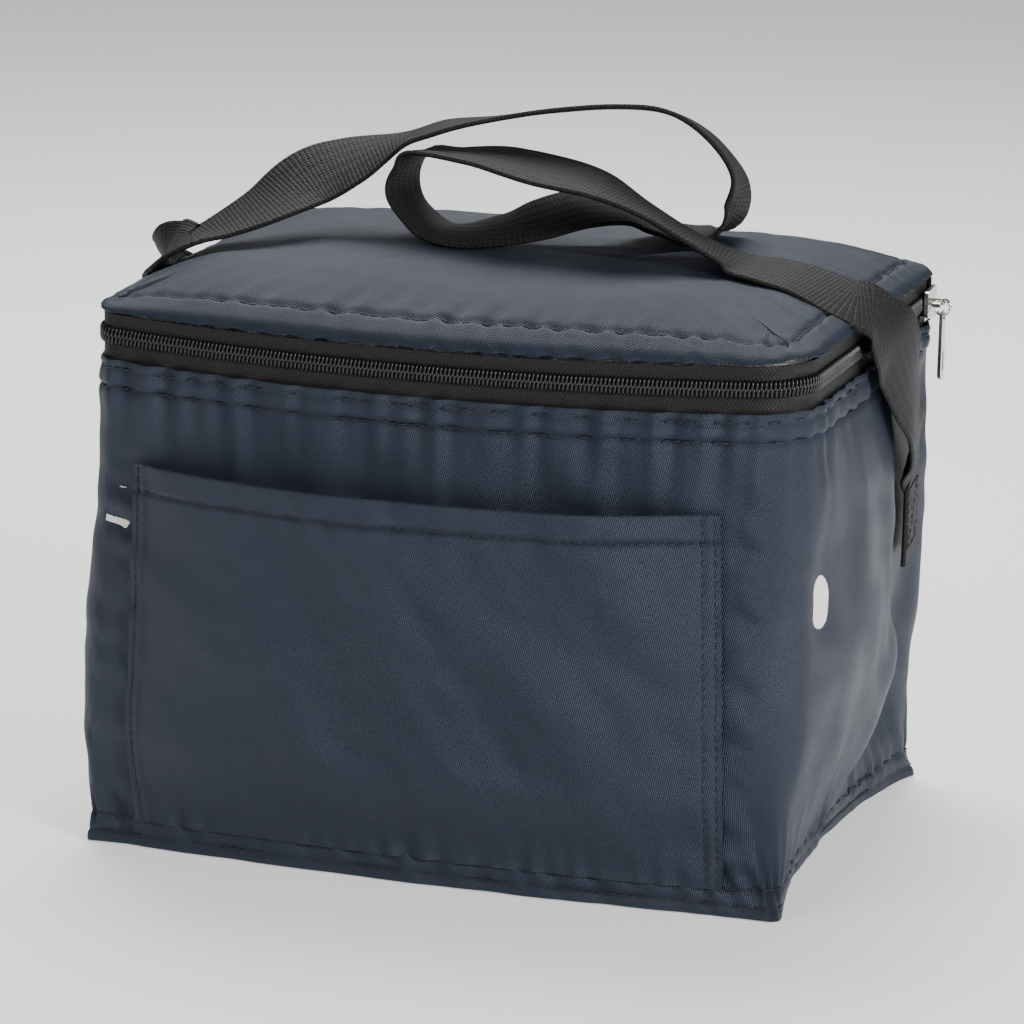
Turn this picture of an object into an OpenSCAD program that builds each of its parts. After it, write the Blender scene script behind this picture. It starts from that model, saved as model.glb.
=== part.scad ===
// Soft insulated cooler bag for six cans: a padded box of nylon with a crowned
// lid, a coil zip round three sides, a slip pocket and a webbing carry strap.
// The origin is on the resting face under the middle of the bag. +X is to the
// right seen from the front, +Y is to the back and +Z is up.

/* [Bag] */
// Width across the top of the walls
top_width = 215; // [200:1:224]
// Width across the base
base_width = 204; // [192:1:216]
// Depth at the top, front to back
top_depth = 148; // [140:1:158]
// Depth at the base
base_depth = 144; // [138:1:158]
// Height of the nylon walls, up to the zip band
wall_height = 143; // [138:1:150]
// Height of the zip band, from the walls to the lid's edge
band_height = 13; // [12:0.2:16]
// How far the middle of the lid stands above its edge
lid_crown = 12; // [8:0.5:15]
// Corner radius at the top
top_corner = 15; // [12:1:26]
// Corner radius at the base
base_corner = 4; // [3:0.5:8]
// How far the sewn corners of the base stand out
ear_length = 2.4; // [0:0.2:4]

/* [Slack] */
// How far the front swells outwards
front_swell = 5; // [0:0.5:7]
// How far the back swells at half height
back_swell = 3; // [0:0.5:5]
// How far the sides swell at half height
side_swell = 6; // [0:0.5:8]
// How far the sides are drawn in at the base
side_dent = 9; // [0:0.5:12]
// How far the middle of the front rim sinks
rim_sag = 3; // [0:0.5:4]

/* [Layers] */
// Thickness of the outer nylon
nylon = 1; // [0.6:0.1:1.4]
// Thickness of the foam
foam = 3; // [2:0.5:4]
// Thickness of the liner
liner = 0.8; // [0.5:0.1:1]
// Free space between two layers
slack = 0.3; // [0.2:0.1:0.4]
// Thickness of binding tape and seam allowance
binding = 1.4; // [1:0.1:1.8]

/* [Pocket] */
// Width of the slip pocket
pocket_width = 175; // [150:1:180]
// Height of the pocket's mouth above the table
pocket_height = 112; // [90:1:120]
// How far the pocket's cloth can stand off the front
pocket_room = 6; // [5:0.5:8]
// Depth of the hem round the pocket's mouth
pocket_hem_depth = 8; // [6:1:12]

/* [Zip] */
// Thickness of the zip's tape
tape = 0.8; // [0.6:0.1:1]
// Height of each half of the coil
coil_height = 2.9; // [2.6:0.1:3.2]
// Depth of the coil
coil_depth = 1.3; // [1:0.1:1.6]
// Length of the slider along the zip
slider_length = 11; // [9:0.5:13]
// Height of the slider across the zip
slider_height = 9.6; // [9.2:0.2:10]
// Length of the pull tab
pull_length = 20; // [18:1:28]
// Width of the pull tab
pull_width = 5; // [4:0.5:6]

/* [Strap] */
// Width of the strap's webbing
strap_width = 25; // [20:1:26]
// Thickness of the strap's webbing
strap_thickness = 1.3; // [1:0.1:1.5]
// Height of each end that is sewn to a side
strap_patch = 27; // [22:1:30]

/* [Hidden] */
rim_height = wall_height + band_height;
coil_middle = wall_height + band_height / 2 + 0.2;
foam_inset = nylon + slack;
liner_inset = foam_inset + foam + slack;
inner_inset = liner_inset + liner + slack;
tape_inset = nylon + slack;
seam_row = 2.5;                  // first row of stitches below the zip band
second_row = 8;                  // second row of stitches below the zip band
hem_height = 8.5;                // height of the sewn rim round the base
thread = 0.5;
side_steps = 8;
front_steps = 14;
corner_steps = 4;
wall_levels = [4, hem_height, 20, 35, 55, 80, 105, 125, 136, wall_height];

// Places along the outline, which starts at the back of the left side and runs
// round the front, so that the zip is one unbroken stretch from 0 to zip_end.
left_end = side_steps;
front_start = left_end + corner_steps;
front_end = front_start + front_steps;
right_start = front_end + corner_steps;
zip_end = right_start + side_steps;
back_start = zip_end + corner_steps;
back_end = back_start + front_steps;
lap = back_end + corner_steps;

navy = "#1c2740";
black = "#17181a";
white_foam = "#e8e6e0";
silver = "#c3c6c9";
nickel = "#d4d4d0";

function mix(a, b, t) = a + (b - a) * t;
function clamp01(t) = max(0, min(1, t));
function ease(t) = let (c = clamp01(t)) c * c * (3 - 2 * c);

function half_width(z) = mix(base_width, top_width, clamp01(z / wall_height)) / 2;
function half_depth(z) = mix(base_depth, top_depth, clamp01(z / wall_height)) / 2;
function corner(z) = mix(base_corner, top_corner, ease(z / 60));

// Rounded rectangle at one height, set in from the bag's outside
function outline(inset, z) = let (
        w = half_width(z) - inset, d = half_depth(z) - inset,
        r = max(1.2, corner(z) - inset), cx = w - r, cy = d - r)
    [for (k = [0:side_steps - 1]) [-w, cy - 2 * cy * k / side_steps],
     for (k = [0:corner_steps - 1]) let (a = 90 * k / corner_steps)
        [-cx - r * cos(a), -cy - r * sin(a)],
     for (k = [0:front_steps - 1]) [-cx + 2 * cx * k / front_steps, -d],
     for (k = [0:corner_steps - 1]) let (a = 90 * k / corner_steps)
        [cx + r * sin(a), -cy - r * cos(a)],
     for (k = [0:side_steps - 1]) [w, -cy + 2 * cy * k / side_steps],
     for (k = [0:corner_steps - 1]) let (a = 90 * k / corner_steps)
        [cx + r * cos(a), cy + r * sin(a)],
     for (k = [0:front_steps - 1]) [cx - 2 * cx * k / front_steps, d],
     for (k = [0:corner_steps - 1]) let (a = 90 * k / corner_steps)
        [-cx - r * sin(a), cy + r * cos(a)]];

// How far each wall stands out at one height
function side_push(z) = side_swell * sin(180 * clamp01(z / wall_height))
    - side_dent * exp(-pow(z / 30, 2));
function front_push(z) = mix(front_swell, front_swell - 1, clamp01(z / rim_height));
function back_push(z) = back_swell * sin(180 * clamp01(z / wall_height));
function ear_push(z, u, v) = ear_length * (1 - ease(z / hem_height))
    * pow(abs(u * v), 14);

// A plan point at a height, moved to where the slack cloth really is
function settle(p, z) = let (
        u = p[0] / half_width(z), v = p[1] / half_depth(z),
        ear = ear_push(z, u, v), y_push = v < 0 ? front_push(z) : back_push(z))
    [p[0] + u * side_push(z) * (1 - min(1, v * v)) + sign(u) * ear,
     p[1] + v * y_push * (1 - min(1, u * u)) + sign(v) * ear,
     z - (v < 0 ? v * v : 0) * (1 - min(1, u * u)) * rim_sag * ease((z - 60) / 84)];

// A ring set in from the outside, which moves as the outside does, so that the layers keep apart
function ring(inset, z) = let (outside = outline(0, z), inside = outline(inset, z))
    [for (i = [0:lap - 1]) settle(outside[i], z)
        + [inside[i][0] - outside[i][0], inside[i][1] - outside[i][1], 0]];
function levels(low, high) = [low, for (z = wall_levels) if (z > low + 2 && z < high - 2) z, high];

// Height of the lid's top cloth over a plan point
function crown(p) = let (u = p[0] / half_width(rim_height), v = p[1] / half_depth(rim_height))
    lid_crown * (1 - pow(min(1, abs(u)), 6)) * (1 - pow(min(1, abs(v)), 6));
function lid_ring(inset, height) = [for (p = outline(inset, rim_height))
    settle(p, rim_height) + [0, 0, height + crown(p)]];

function flat(rows) = [for (row = rows) for (p = row) p];

// Skin of a grid of points: rows of columns, closed where the rows wrap round. From the
// column called turn on, the faces are cut along their other diagonal.
function grid_faces(rows, columns, wrap, turn = 1e6) = [for (i = [0:rows - (wrap ? 1 : 2)])
    for (k = [0:columns - 1]) let (
        a = i * columns + k, b = i * columns + (k + 1) % columns,
        c = ((i + 1) % rows) * columns + (k + 1) % columns,
        d = ((i + 1) % rows) * columns + k)
    each k < turn ? [[a, b, c], [a, c, d]] : [[a, b, d], [b, c, d]]];

// Ladder of faces that closes an end whose loop goes up one side and down the other
function ladder(first, columns, back) = [for (k = [0:columns / 2 - 2]) let (
        a = first + k, b = first + k + 1,
        c = first + columns - 2 - k, d = first + columns - 1 - k)
    each back ? [[a, c, b], [a, d, c]] : [[a, b, c], [a, c, d]]];

// A point between two places on a ring
function along_ring(r, place) = let (i = floor(place), t = place - i)
    r[i % lap] * (1 - t) + r[(i + 1) % lap] * t;

// A stretch of wall between two insets, from one place on the outline to another
module band(from, to, outer, inner, heights) {
    full = to - from >= lap;
    outer_rings = [for (z = heights) ring(outer, z)];
    inner_rings = [for (z = heights) ring(inner, z)];
    places = full ? [for (i = [0:lap - 1]) i]
        : [from, for (i = [floor(from) + 1:ceil(to) - 1]) i, to];
    sections = [for (place = places)
        [for (r = outer_rings) along_ring(r, place),
         for (k = [len(heights) - 1:-1:0]) along_ring(inner_rings[k], place)]];
    columns = 2 * len(heights);
    polyhedron(points = flat(sections), convexity = 6, faces = concat(
        grid_faces(len(sections), columns, full, len(heights)),
        full ? [] : ladder(0, columns, true),
        full ? [] : ladder((len(sections) - 1) * columns, columns, false)));
}

// A domed sheet between two sets of rings, each given from the rim to the middle
module dome(top_rings, bottom_rings, top_middle, bottom_middle) {
    rows = len(top_rings);
    outside = concat([for (i = [rows - 1:-1:0]) bottom_rings[i]], top_rings);
    total = 2 * rows * lap;
    polyhedron(points = concat(flat(outside), [bottom_middle, top_middle]), convexity = 4,
        faces = concat(
            [for (f = grid_faces(2 * rows, lap, false)) [f[0], f[2], f[1]]],
            [for (k = [0:lap - 1]) [total, k, (k + 1) % lap]],
            [for (k = [0:lap - 1]) [total + 1, total - lap + (k + 1) % lap, total - lap + k]]));
}

// One layer of the lid: a sheet at a depth below the top cloth
module lid_layer(insets, depth, thickness) dome(
    [for (i = insets) lid_ring(i, -depth)],
    [for (i = insets) lid_ring(i, -depth - thickness)],
    [0, 0, rim_height + lid_crown - depth],
    [0, 0, rim_height + lid_crown - depth - thickness]);

// A flat plate that fills the outline at the base
module plate(inset, low, thickness) translate([0, 0, low]) linear_extrude(thickness)
    polygon([for (p = ring(inset, low)) [p[0], p[1]]]);

// Thread of a row of stitches that stands on the outside of a wall
module stitch_row(from, to, z)
    band(from, to, -thread - 0.2, -0.2, [z - thread / 2, z + thread / 2]);

module front_side_wrap() color(navy) band(back_end, back_start + lap, 0, nylon, levels(0, wall_height));

module back_panel() color(navy) band(back_start, back_end, 0, nylon, levels(0, rim_height - 0.4));

module bottom_panel() color(navy) plate(nylon + slack, 0, nylon);

module base_seam_allowance() color(navy)
    band(0, lap, foam_inset, foam_inset + binding, levels(nylon + slack, hem_height));

module foam_wall(from, to) color(white_foam)
    band(from, to, foam_inset, foam_inset + foam, levels(hem_height + slack, 135));

module foam_front() foam_wall(left_end + corner_steps / 2, front_end + corner_steps / 2);
module foam_right() foam_wall(front_end + corner_steps / 2, zip_end + corner_steps / 2);
module foam_back() foam_wall(zip_end + corner_steps / 2, back_end + corner_steps / 2);
module foam_left() foam_wall(back_end + corner_steps / 2, lap + left_end + corner_steps / 2);

module foam_base() color(white_foam)
    plate(foam_inset + binding + slack + 1, nylon + slack, foam);

module wall_liner() color(silver)
    band(0, lap, liner_inset, liner_inset + liner, levels(nylon + foam + 3 * slack + liner, 146));

module base_liner() color(silver) plate(liner_inset, nylon + foam + 2 * slack, liner);

module inner_rim_binding() color(black)
    band(0, lap, inner_inset, inner_inset + binding, [137, 147]);

module inner_base_binding() color(black)
    band(0, lap, inner_inset, inner_inset + binding, [6, 10]);

module zip_tape_lower() color(black)
    band(0, zip_end, tape_inset, tape_inset + tape, [136, wall_height, coil_middle - 0.2]);

module zip_tape_upper() color(black)
    band(0, zip_end, tape_inset, tape_inset + tape, [coil_middle + 0.2, rim_height - 0.3]);

module coil(low) color(black)
    band(0, zip_end, tape_inset - slack / 2 - coil_depth, tape_inset - slack / 2, [low, low + coil_height]);

module zip_coil_lower() coil(coil_middle - 0.1 - coil_height);
module zip_coil_upper() coil(coil_middle + 0.1);

// Four small clips close the ends of the lower half of the coil
module zip_stops() color(black) for (side = [-1, 1])
    translate([side * (half_width(rim_height) - 0.4), half_depth(rim_height) - corner(rim_height) + 1.2,
        coil_middle - 1.2]) cube([1.4, 1.6, 2], center = true);

module zip_end_tabs() color(black) {
    band(zip_end + 1, back_start, 0, nylon, [wall_height + 0.3, rim_height - 0.4]);
    band(back_end, lap - 1, 0, nylon, [wall_height + 0.3, rim_height - 0.4]);
}

// Fabric hinge sewn inside the seam between the back panel and the lid
module lid_hinge_tape() color(black)
    band(back_start, back_end, nylon + slack, nylon + slack + 0.8, [150, rim_height - 0.5]);

// The slip pocket: cloth that stands off the front and is sewn down on three sides
pocket_columns = 16;
pocket_rows = [hem_height + 0.6, 14, 22, 34, 50, 70, 90, 102];
function front_face(x, z) = settle([x, -half_depth(z)], z);
function pocket_gap(x, z) = 0.2 + pocket_room * (1 - pow(abs(2 * x / pocket_width), 4))
    * ease((z - hem_height) / 26);
function pocket_point(i, z, off) = let (x = pocket_width * (i / pocket_columns - 0.5))
    front_face(x, z) - [0, pocket_gap(x, z) + off, 0];

// A stretch of the pocket's cloth, or of what lies on it, between two offsets
module pocket_cloth(columns_at, heights, near, far) {
    sections = [for (i = columns_at)
        [for (z = heights) pocket_point(i, z, far),
         for (k = [len(heights) - 1:-1:0]) pocket_point(i, heights[k], near)]];
    columns = 2 * len(heights);
    polyhedron(points = flat(sections), convexity = 4, faces = concat(
        grid_faces(len(sections), columns, false),
        ladder(0, columns, true),
        ladder((len(sections) - 1) * columns, columns, false)));
}

inner_columns = [for (i = [1:pocket_columns - 1]) i];

module front_pocket() color(navy)
    pocket_cloth(concat([0], inner_columns, [pocket_columns]), concat(pocket_rows, [pocket_height]), 0, nylon);

module pocket_hem() color(navy)
    pocket_cloth(concat([0.5], inner_columns, [pocket_columns - 0.5]),
        [pocket_height - pocket_hem_depth, pocket_height], -1.1, -0.3);

module pocket_thread(columns_at, heights)
    pocket_cloth(columns_at, heights, nylon + 0.25, nylon + 0.25 + thread);

module pocket_stitching() color(navy) {
    hem_line = pocket_height - pocket_hem_depth;
    pocket_thread(inner_columns, [hem_line - thread, hem_line]);
    for (i = [0.2, pocket_columns - 0.25])
        pocket_thread([i, i + 0.05], concat(pocket_rows, [pocket_height]));
}

module rim_stitching() color(navy) {
    stitch_row(0, lap, wall_height - seam_row);
    stitch_row(0, lap, wall_height - second_row);
}

module hem_stitching() color(navy) stitch_row(0, lap, hem_height - 0.3);

// The upright seams where the back panel is sewn in
module back_corner_seams() color(navy) for (seam = [back_start + 0.04, back_end - 0.1])
    band(seam, seam + 0.06, -0.9, -0.1, levels(hem_height + 2, wall_height - second_row - 2));

module lid_cover() color(navy) {
    insets = [0, 1.2, 3, 5.5, 9, 15, 24, 36, 52];
    dome([for (i = insets) lid_ring(i, i == 0 ? 0.9 : 1.6)],
        [for (i = insets) lid_ring(i, i == 0 ? 0.1 : 0.6)],
        [0, 0, rim_height + lid_crown + 1.6], [0, 0, rim_height + lid_crown + 0.6]);
}

module lid_foam() color(white_foam)
    lid_layer([5.5, 9, 15, 24, 36, 52], slack - 0.6, foam);

module lid_liner() color(silver)
    lid_layer([3, 5.5, 9, 15, 24, 36, 52], slack - 0.6 + foam + slack, liner);

module lid_binding() color(black)
    band(0, lap, tape_inset + tape + slack, tape_inset + tape + slack + 1,
        [coil_middle + 0.4, rim_height - 3.8]);

// Row of stitches just inside the lid's edge
module lid_stitching() color(navy) {
    rows = [lid_ring(6.5, 1.7), lid_ring(6.5, 1.7 + thread), lid_ring(7, 1.7 + thread), lid_ring(7, 1.7)];
    polyhedron(points = flat([for (i = [0:lap - 1]) [for (r = rows) r[i]]]),
        faces = grid_faces(lap, 4, true));
}

// The slider rides on the straight run of the zip along the right side
slider_rest = half_depth(rim_height) - top_corner - 1.5;
slider_face = half_width(rim_height) + 0.6;
plate_thickness = 1.2;
bridge_radius = 0.7;
bridge_height = 3.1;
bridge_half = 3.2;

module zip_slider() color(nickel) translate([slider_face, slider_rest, coil_middle]) {
    rotate([90, 0, 90]) linear_extrude(plate_thickness) hull() {
        translate([-slider_length / 2 + 1.6, 0]) for (s = [-1, 1])
            translate([0, s * (slider_height / 2 - 2.4)]) circle(1.6, $fn = 32);
        translate([slider_length / 2 - 2, 0]) for (s = [-1, 1])
            translate([0, s * (slider_height / 2 - 2)]) circle(2, $fn = 32);
    }
    translate([-1.2, -slider_length / 2 + 0.8, -slider_height / 2])
        cube([1.3, slider_length - 1.6, 1.5]);
    for (s = [-1, 1]) translate([plate_thickness - 0.2, s * bridge_half, 0])
        rotate([0, 90, 0]) cylinder(h = bridge_height + 0.2, r = bridge_radius, $fn = 24);
    translate([plate_thickness + bridge_height, -bridge_half, 0]) rotate([-90, 0, 0])
        cylinder(h = 2 * bridge_half, r = bridge_radius, $fn = 24);
    for (s = [-1, 1]) translate([plate_thickness + bridge_height, s * bridge_half, 0])
        sphere(bridge_radius, $fn = 24);
}

// The link hangs round the slider's bridge, and the tab hangs on the link
bridge_x = slider_face + plate_thickness + bridge_height;
link_radius = 2.3;
link_wire = 0.5;
link_z = coil_middle - link_radius + bridge_radius + link_wire + 0.05;
tab_thickness = 1;
tab_eye = 1.1;
tab_top = link_z - link_radius + link_wire + 0.1;

module pull_link() color(nickel) translate([bridge_x, slider_rest, link_z]) rotate([90, 0, 0])
    rotate_extrude($fn = 48) translate([link_radius, 0]) circle(link_wire, $fn = 20);

module pull_tab() color(nickel) translate([bridge_x - tab_thickness / 2, slider_rest, tab_top])
    rotate([90, 0, 90]) linear_extrude(tab_thickness) difference() {
        hull() {
            translate([0, -tab_eye]) circle(tab_eye + 0.85, $fn = 40);
            translate([0, -pull_length + pull_width / 2]) circle(pull_width / 2, $fn = 40);
        }
        translate([0, -tab_eye]) circle(tab_eye, $fn = 32);
        hull() for (drop = [0.62, 0.82]) translate([0, -pull_length * drop]) circle(0.9, $fn = 32);
    }

// The strap's way, from the end on the left side to the end on the right side.
// Each entry is a point on its middle line and the direction of its width.
patch_low = 77;
patch_high = patch_low + strap_patch;
strap_off = strap_thickness / 2 + 0.5;
patch_y = 40;
side_at_patch = half_width(90) + side_push(90) * (1 - pow((patch_y - 11) / half_depth(90), 2)) + strap_off;
strap_route = [
    [[-side_at_patch, patch_y, patch_low], [0, 1, 0]],
    [[-side_at_patch, patch_y, patch_high - 8], [0, 1, 0]],
    [[-side_at_patch, patch_y, patch_high], [0, 1, 0]],
    [[-113, 34, 118], [-0.1, 0.9, 0.3]],
    [[-114, 18, 135], [-0.1, 0.8, 0.5]],
    [[-114, -5, 148], [-0.2, 0.7, 0.6]],
    [[-113.5, -20, 161], [-0.25, 0.85, 0.35]],
    [[-99, -24, 169], [-0.45, 0.85, 0]],
    [[-87, -20, 174], [-0.5, 0.85, 0]],
    [[-74, -12, 178], [-0.57, 0.8, 0.15]],
    [[-63, -3, 185], [-0.52, 0.69, 0.5]],
    [[-52, 3, 190], [-0.49, 0.79, 0.37]],
    [[-38, 9, 196], [-0.41, 0.91, -0.05]],
    [[-27, 11, 200], [-0.36, 0.93, -0.05]],
    [[-12, 13, 203], [-0.34, 0.93, -0.14]],
    [[4, 15, 206], [-0.32, 0.93, -0.16]],
    [[23, 18, 208], [-0.32, 0.93, -0.16]],
    [[38, 21, 207], [-0.28, 0.95, -0.16]],
    [[50, 24, 200], [-0.2, 0.97, -0.15]],
    [[58, 26, 189], [-0.1, 0.97, -0.23]],
    [[58, 25, 179], [-0.02, 0.95, -0.2]],
    [[53, 22, 173], [-0.1, 0.98, 0]],
    [[45, 20, 172], [-0.2, 0.97, 0]],
    [[35, 16, 175], [-0.3, 0.95, 0]],
    [[28, 12, 179], [-0.35, 0.93, 0.1]],
    [[18, 6, 180], [-0.38, 0.88, 0.25]],
    [[7, 0, 177], [-0.28, 0.9, 0.3]],
    [[-3, -3, 174], [-0.18, 0.95, 0.2]],
    [[-15, -3, 172], [-0.18, 0.97, 0.1]],
    [[-26, 0, 173], [-0.1, 0.99, 0]],
    [[-35, 4, 179], [0, 1, -0.05]],
    [[-37, 6, 186], [0, 1, -0.08]],
    [[-33, 6, 192.5], [-0.15, 0.97, -0.15]],
    [[-23, 3, 194.5], [-0.28, 0.94, -0.1]],
    [[-7, -3, 195], [-0.2, 0.97, 0.05]],
    [[11, -9, 193], [-0.1, 0.97, 0.15]],
    [[28, -12, 190], [-0.13, 0.98, 0.1]],
    [[42, -12, 184], [-0.18, 0.98, -0.05]],
    [[56, -12, 176], [-0.2, 0.97, -0.1]],
    [[70, -14, 171.5], [-0.1, 0.99, 0]],
    [[83, -15, 170], [0, 1, 0.03]],
    [[96, -13, 168], [0.15, 0.97, 0.05]],
    [[107.5, -8, 163.5], [0.2, 0.95, 0.15]],
    [[112, 1, 153], [0.15, 0.9, 0.35]],
    [[113, 13, 139], [0, 0.85, 0.5]],
    [[114, 24, 127], [-0.05, 0.85, 0.45]],
    [[113, 33, 115], [-0.05, 0.95, 0.25]],
    [[side_at_patch, patch_y, patch_high], [0, 1, 0]],
    [[side_at_patch, patch_y, patch_high - 8], [0, 1, 0]],
    [[side_at_patch, patch_y, patch_low], [0, 1, 0]]];

function unit(v) = v / norm(v);
function route_part(i, part) = strap_route[max(0, min(len(strap_route) - 1, i))][part];
function blend4(a, b, c, d, t) = 0.5 * (2 * b + (c - a) * t + (2 * a - 5 * b + 4 * c - d) * t * t
    + (3 * b - a - 3 * c + d) * t * t * t);
function route_at(i, t, part) = blend4(route_part(i - 1, part), route_part(i, part),
    route_part(i + 1, part), route_part(i + 2, part), t);

// Four corners of the webbing where the route is s points along
function strap_corners(s) = let (
        last = len(strap_route) - 1, i = min(floor(s), last - 1), t = s - i, step = 0.04,
        at = route_at(i, t, 0),
        ahead = t + step > 1 ? at - route_at(i, t - step, 0) : route_at(i, t + step, 0) - at,
        along = unit(ahead), raw = route_at(i, t, 1),
        wide = unit(raw - (raw * along) * along), thick = cross(along, wide))
    [for (c = [[-1, -1], [1, -1], [1, 1], [-1, 1]])
        at + wide * c[0] * strap_width / 2 + thick * c[1] * strap_thickness / 2];

module carry_strap() color(black) {
    steps = floor(1.65 * (len(strap_route) - 1));
    rings = [for (k = [0:steps]) strap_corners(k * (len(strap_route) - 1) / steps)];
    polyhedron(points = flat(rings), convexity = 10, faces = concat(
        [for (f = grid_faces(steps + 1, 4, false)) [f[0], f[2], f[1]]],
        [[0, 1, 2], [0, 2, 3]],
        [let (m = 4 * steps) [m + 2, m + 1, m], let (m = 4 * steps) [m + 3, m + 2, m]]));
}

// Thread of the sewn box with a cross in it, on both ends of the strap
module strap_end_stitching() color(black) for (side = [-1, 1])
    translate([side * (side_at_patch + strap_thickness / 2 + 0.55), patch_y, patch_low + strap_patch / 2]) {
        w = strap_width - 6;
        h = strap_patch - 9;
        for (s = [-1, 1]) {
            translate([0, s * w / 2, 0]) cube([thread, thread, h + thread], center = true);
            translate([0, 0, s * h / 2]) cube([thread, w + thread, thread], center = true);
            rotate([s * atan(h / w), 0, 0]) cube([thread, norm([w, h]) - 1, thread], center = true);
        }
    }

front_side_wrap();
back_panel();
bottom_panel();
base_seam_allowance();
foam_front();
foam_right();
foam_back();
foam_left();
foam_base();
wall_liner();
base_liner();
inner_rim_binding();
inner_base_binding();
zip_tape_lower();
zip_coil_lower();
zip_stops();
zip_end_tabs();
lid_hinge_tape();
front_pocket();
pocket_hem();
pocket_stitching();
rim_stitching();
hem_stitching();
back_corner_seams();
carry_strap();
strap_end_stitching();
lid_cover();
lid_foam();
lid_liner();
lid_binding();
lid_stitching();
zip_tape_upper();
zip_coil_upper();
zip_slider();
pull_link();
pull_tab();
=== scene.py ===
"""The visible pieces of a soft insulated cooler bag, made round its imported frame.

Shapes are worked out in millimetres, as a pattern cutter would, and become
metres when a mesh is made. +X is right, +Y is back and +Z is up.
"""
from __future__ import annotations

import logging
import math
from dataclasses import dataclass, field
from enum import Enum
from typing import Sequence

import bpy
import numpy as np
from mathutils import Matrix, Vector


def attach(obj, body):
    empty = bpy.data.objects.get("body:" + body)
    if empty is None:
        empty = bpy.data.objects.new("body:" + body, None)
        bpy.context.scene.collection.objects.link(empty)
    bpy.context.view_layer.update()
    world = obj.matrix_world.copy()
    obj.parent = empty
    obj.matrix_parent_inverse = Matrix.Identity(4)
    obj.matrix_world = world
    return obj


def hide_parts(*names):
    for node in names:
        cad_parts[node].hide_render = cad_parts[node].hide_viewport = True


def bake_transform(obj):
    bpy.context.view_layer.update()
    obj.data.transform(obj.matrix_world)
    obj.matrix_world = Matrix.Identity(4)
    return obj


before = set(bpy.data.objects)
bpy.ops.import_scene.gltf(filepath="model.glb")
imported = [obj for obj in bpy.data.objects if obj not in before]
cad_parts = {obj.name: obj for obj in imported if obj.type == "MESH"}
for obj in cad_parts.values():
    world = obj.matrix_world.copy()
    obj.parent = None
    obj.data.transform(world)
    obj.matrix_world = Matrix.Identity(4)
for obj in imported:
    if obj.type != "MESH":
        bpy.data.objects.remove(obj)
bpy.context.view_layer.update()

log = logging.getLogger("cooler_bag")
MM = 0.001
Array = np.ndarray
Colour = tuple[float, float, float]


class Body(Enum):
    """The moving bodies of the bag."""

    BAG = "bag"
    LID = "lid"
    SLIDER = "slider"
    LINK = "link"
    TAB = "tab"


class Slot(Enum):
    """The material slots of the record."""

    NYLON = "nylon"
    WEBBING = "webbing"
    ZIP_TAPE = "zip_tape"
    ZIP_COIL = "zip_coil"
    FOAM = "foam"
    LINER = "liner"
    BINDING = "binding"
    THREAD = "thread"
    BLACK_THREAD = "black_thread"
    NICKEL = "nickel"


# ---------------------------------------------------------------- small helpers
def ease(t: Array | float) -> Array | float:
    """Smooth step from 0 to 1."""
    c = np.clip(t, 0.0, 1.0)
    return c * c * (3.0 - 2.0 * c)


def mix(a: float, b: float, t: Array | float) -> Array | float:
    """Straight mix of two numbers."""
    return a + (b - a) * t


def unit(v: Array) -> Array:
    """Vectors brought to length one along their last axis."""
    return v / np.maximum(np.linalg.norm(v, axis=-1, keepdims=True), 1e-9)


@dataclass(frozen=True)
class Ripple:
    """Smooth random waves, the same on each run.

    Attributes:
        seed: Which set of waves.
        short: Shortest wavelength in mm.
        long: Longest wavelength in mm.
        slant: Mean direction of travel in degrees, 0 along the first axis.
        spread: How far the direction strays from that, in degrees.
        count: How many waves are added up.
    """

    seed: int
    short: float
    long: float
    slant: float = 0.0
    spread: float = 90.0
    count: int = 18

    def at(self, s: Array, t: Array) -> Array:
        """Height of the waves, about -1 to 1.

        Args:
            s: Distance along the cloth in mm.
            t: Distance across it in mm.

        Returns:
            The waves' height at each place.
        """
        rng = np.random.default_rng(self.seed)
        total = np.zeros(np.broadcast(s, t).shape)
        for _ in range(self.count):
            length = math.exp(rng.uniform(math.log(self.short), math.log(self.long)))
            way = math.radians(self.slant + rng.normal(0.0, self.spread / 2))
            phase = rng.uniform(0, 2 * math.pi)
            total += np.sin(2 * math.pi / length * (s * math.cos(way) + t * math.sin(way)) + phase)
        return total / math.sqrt(self.count) * 0.7


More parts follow.
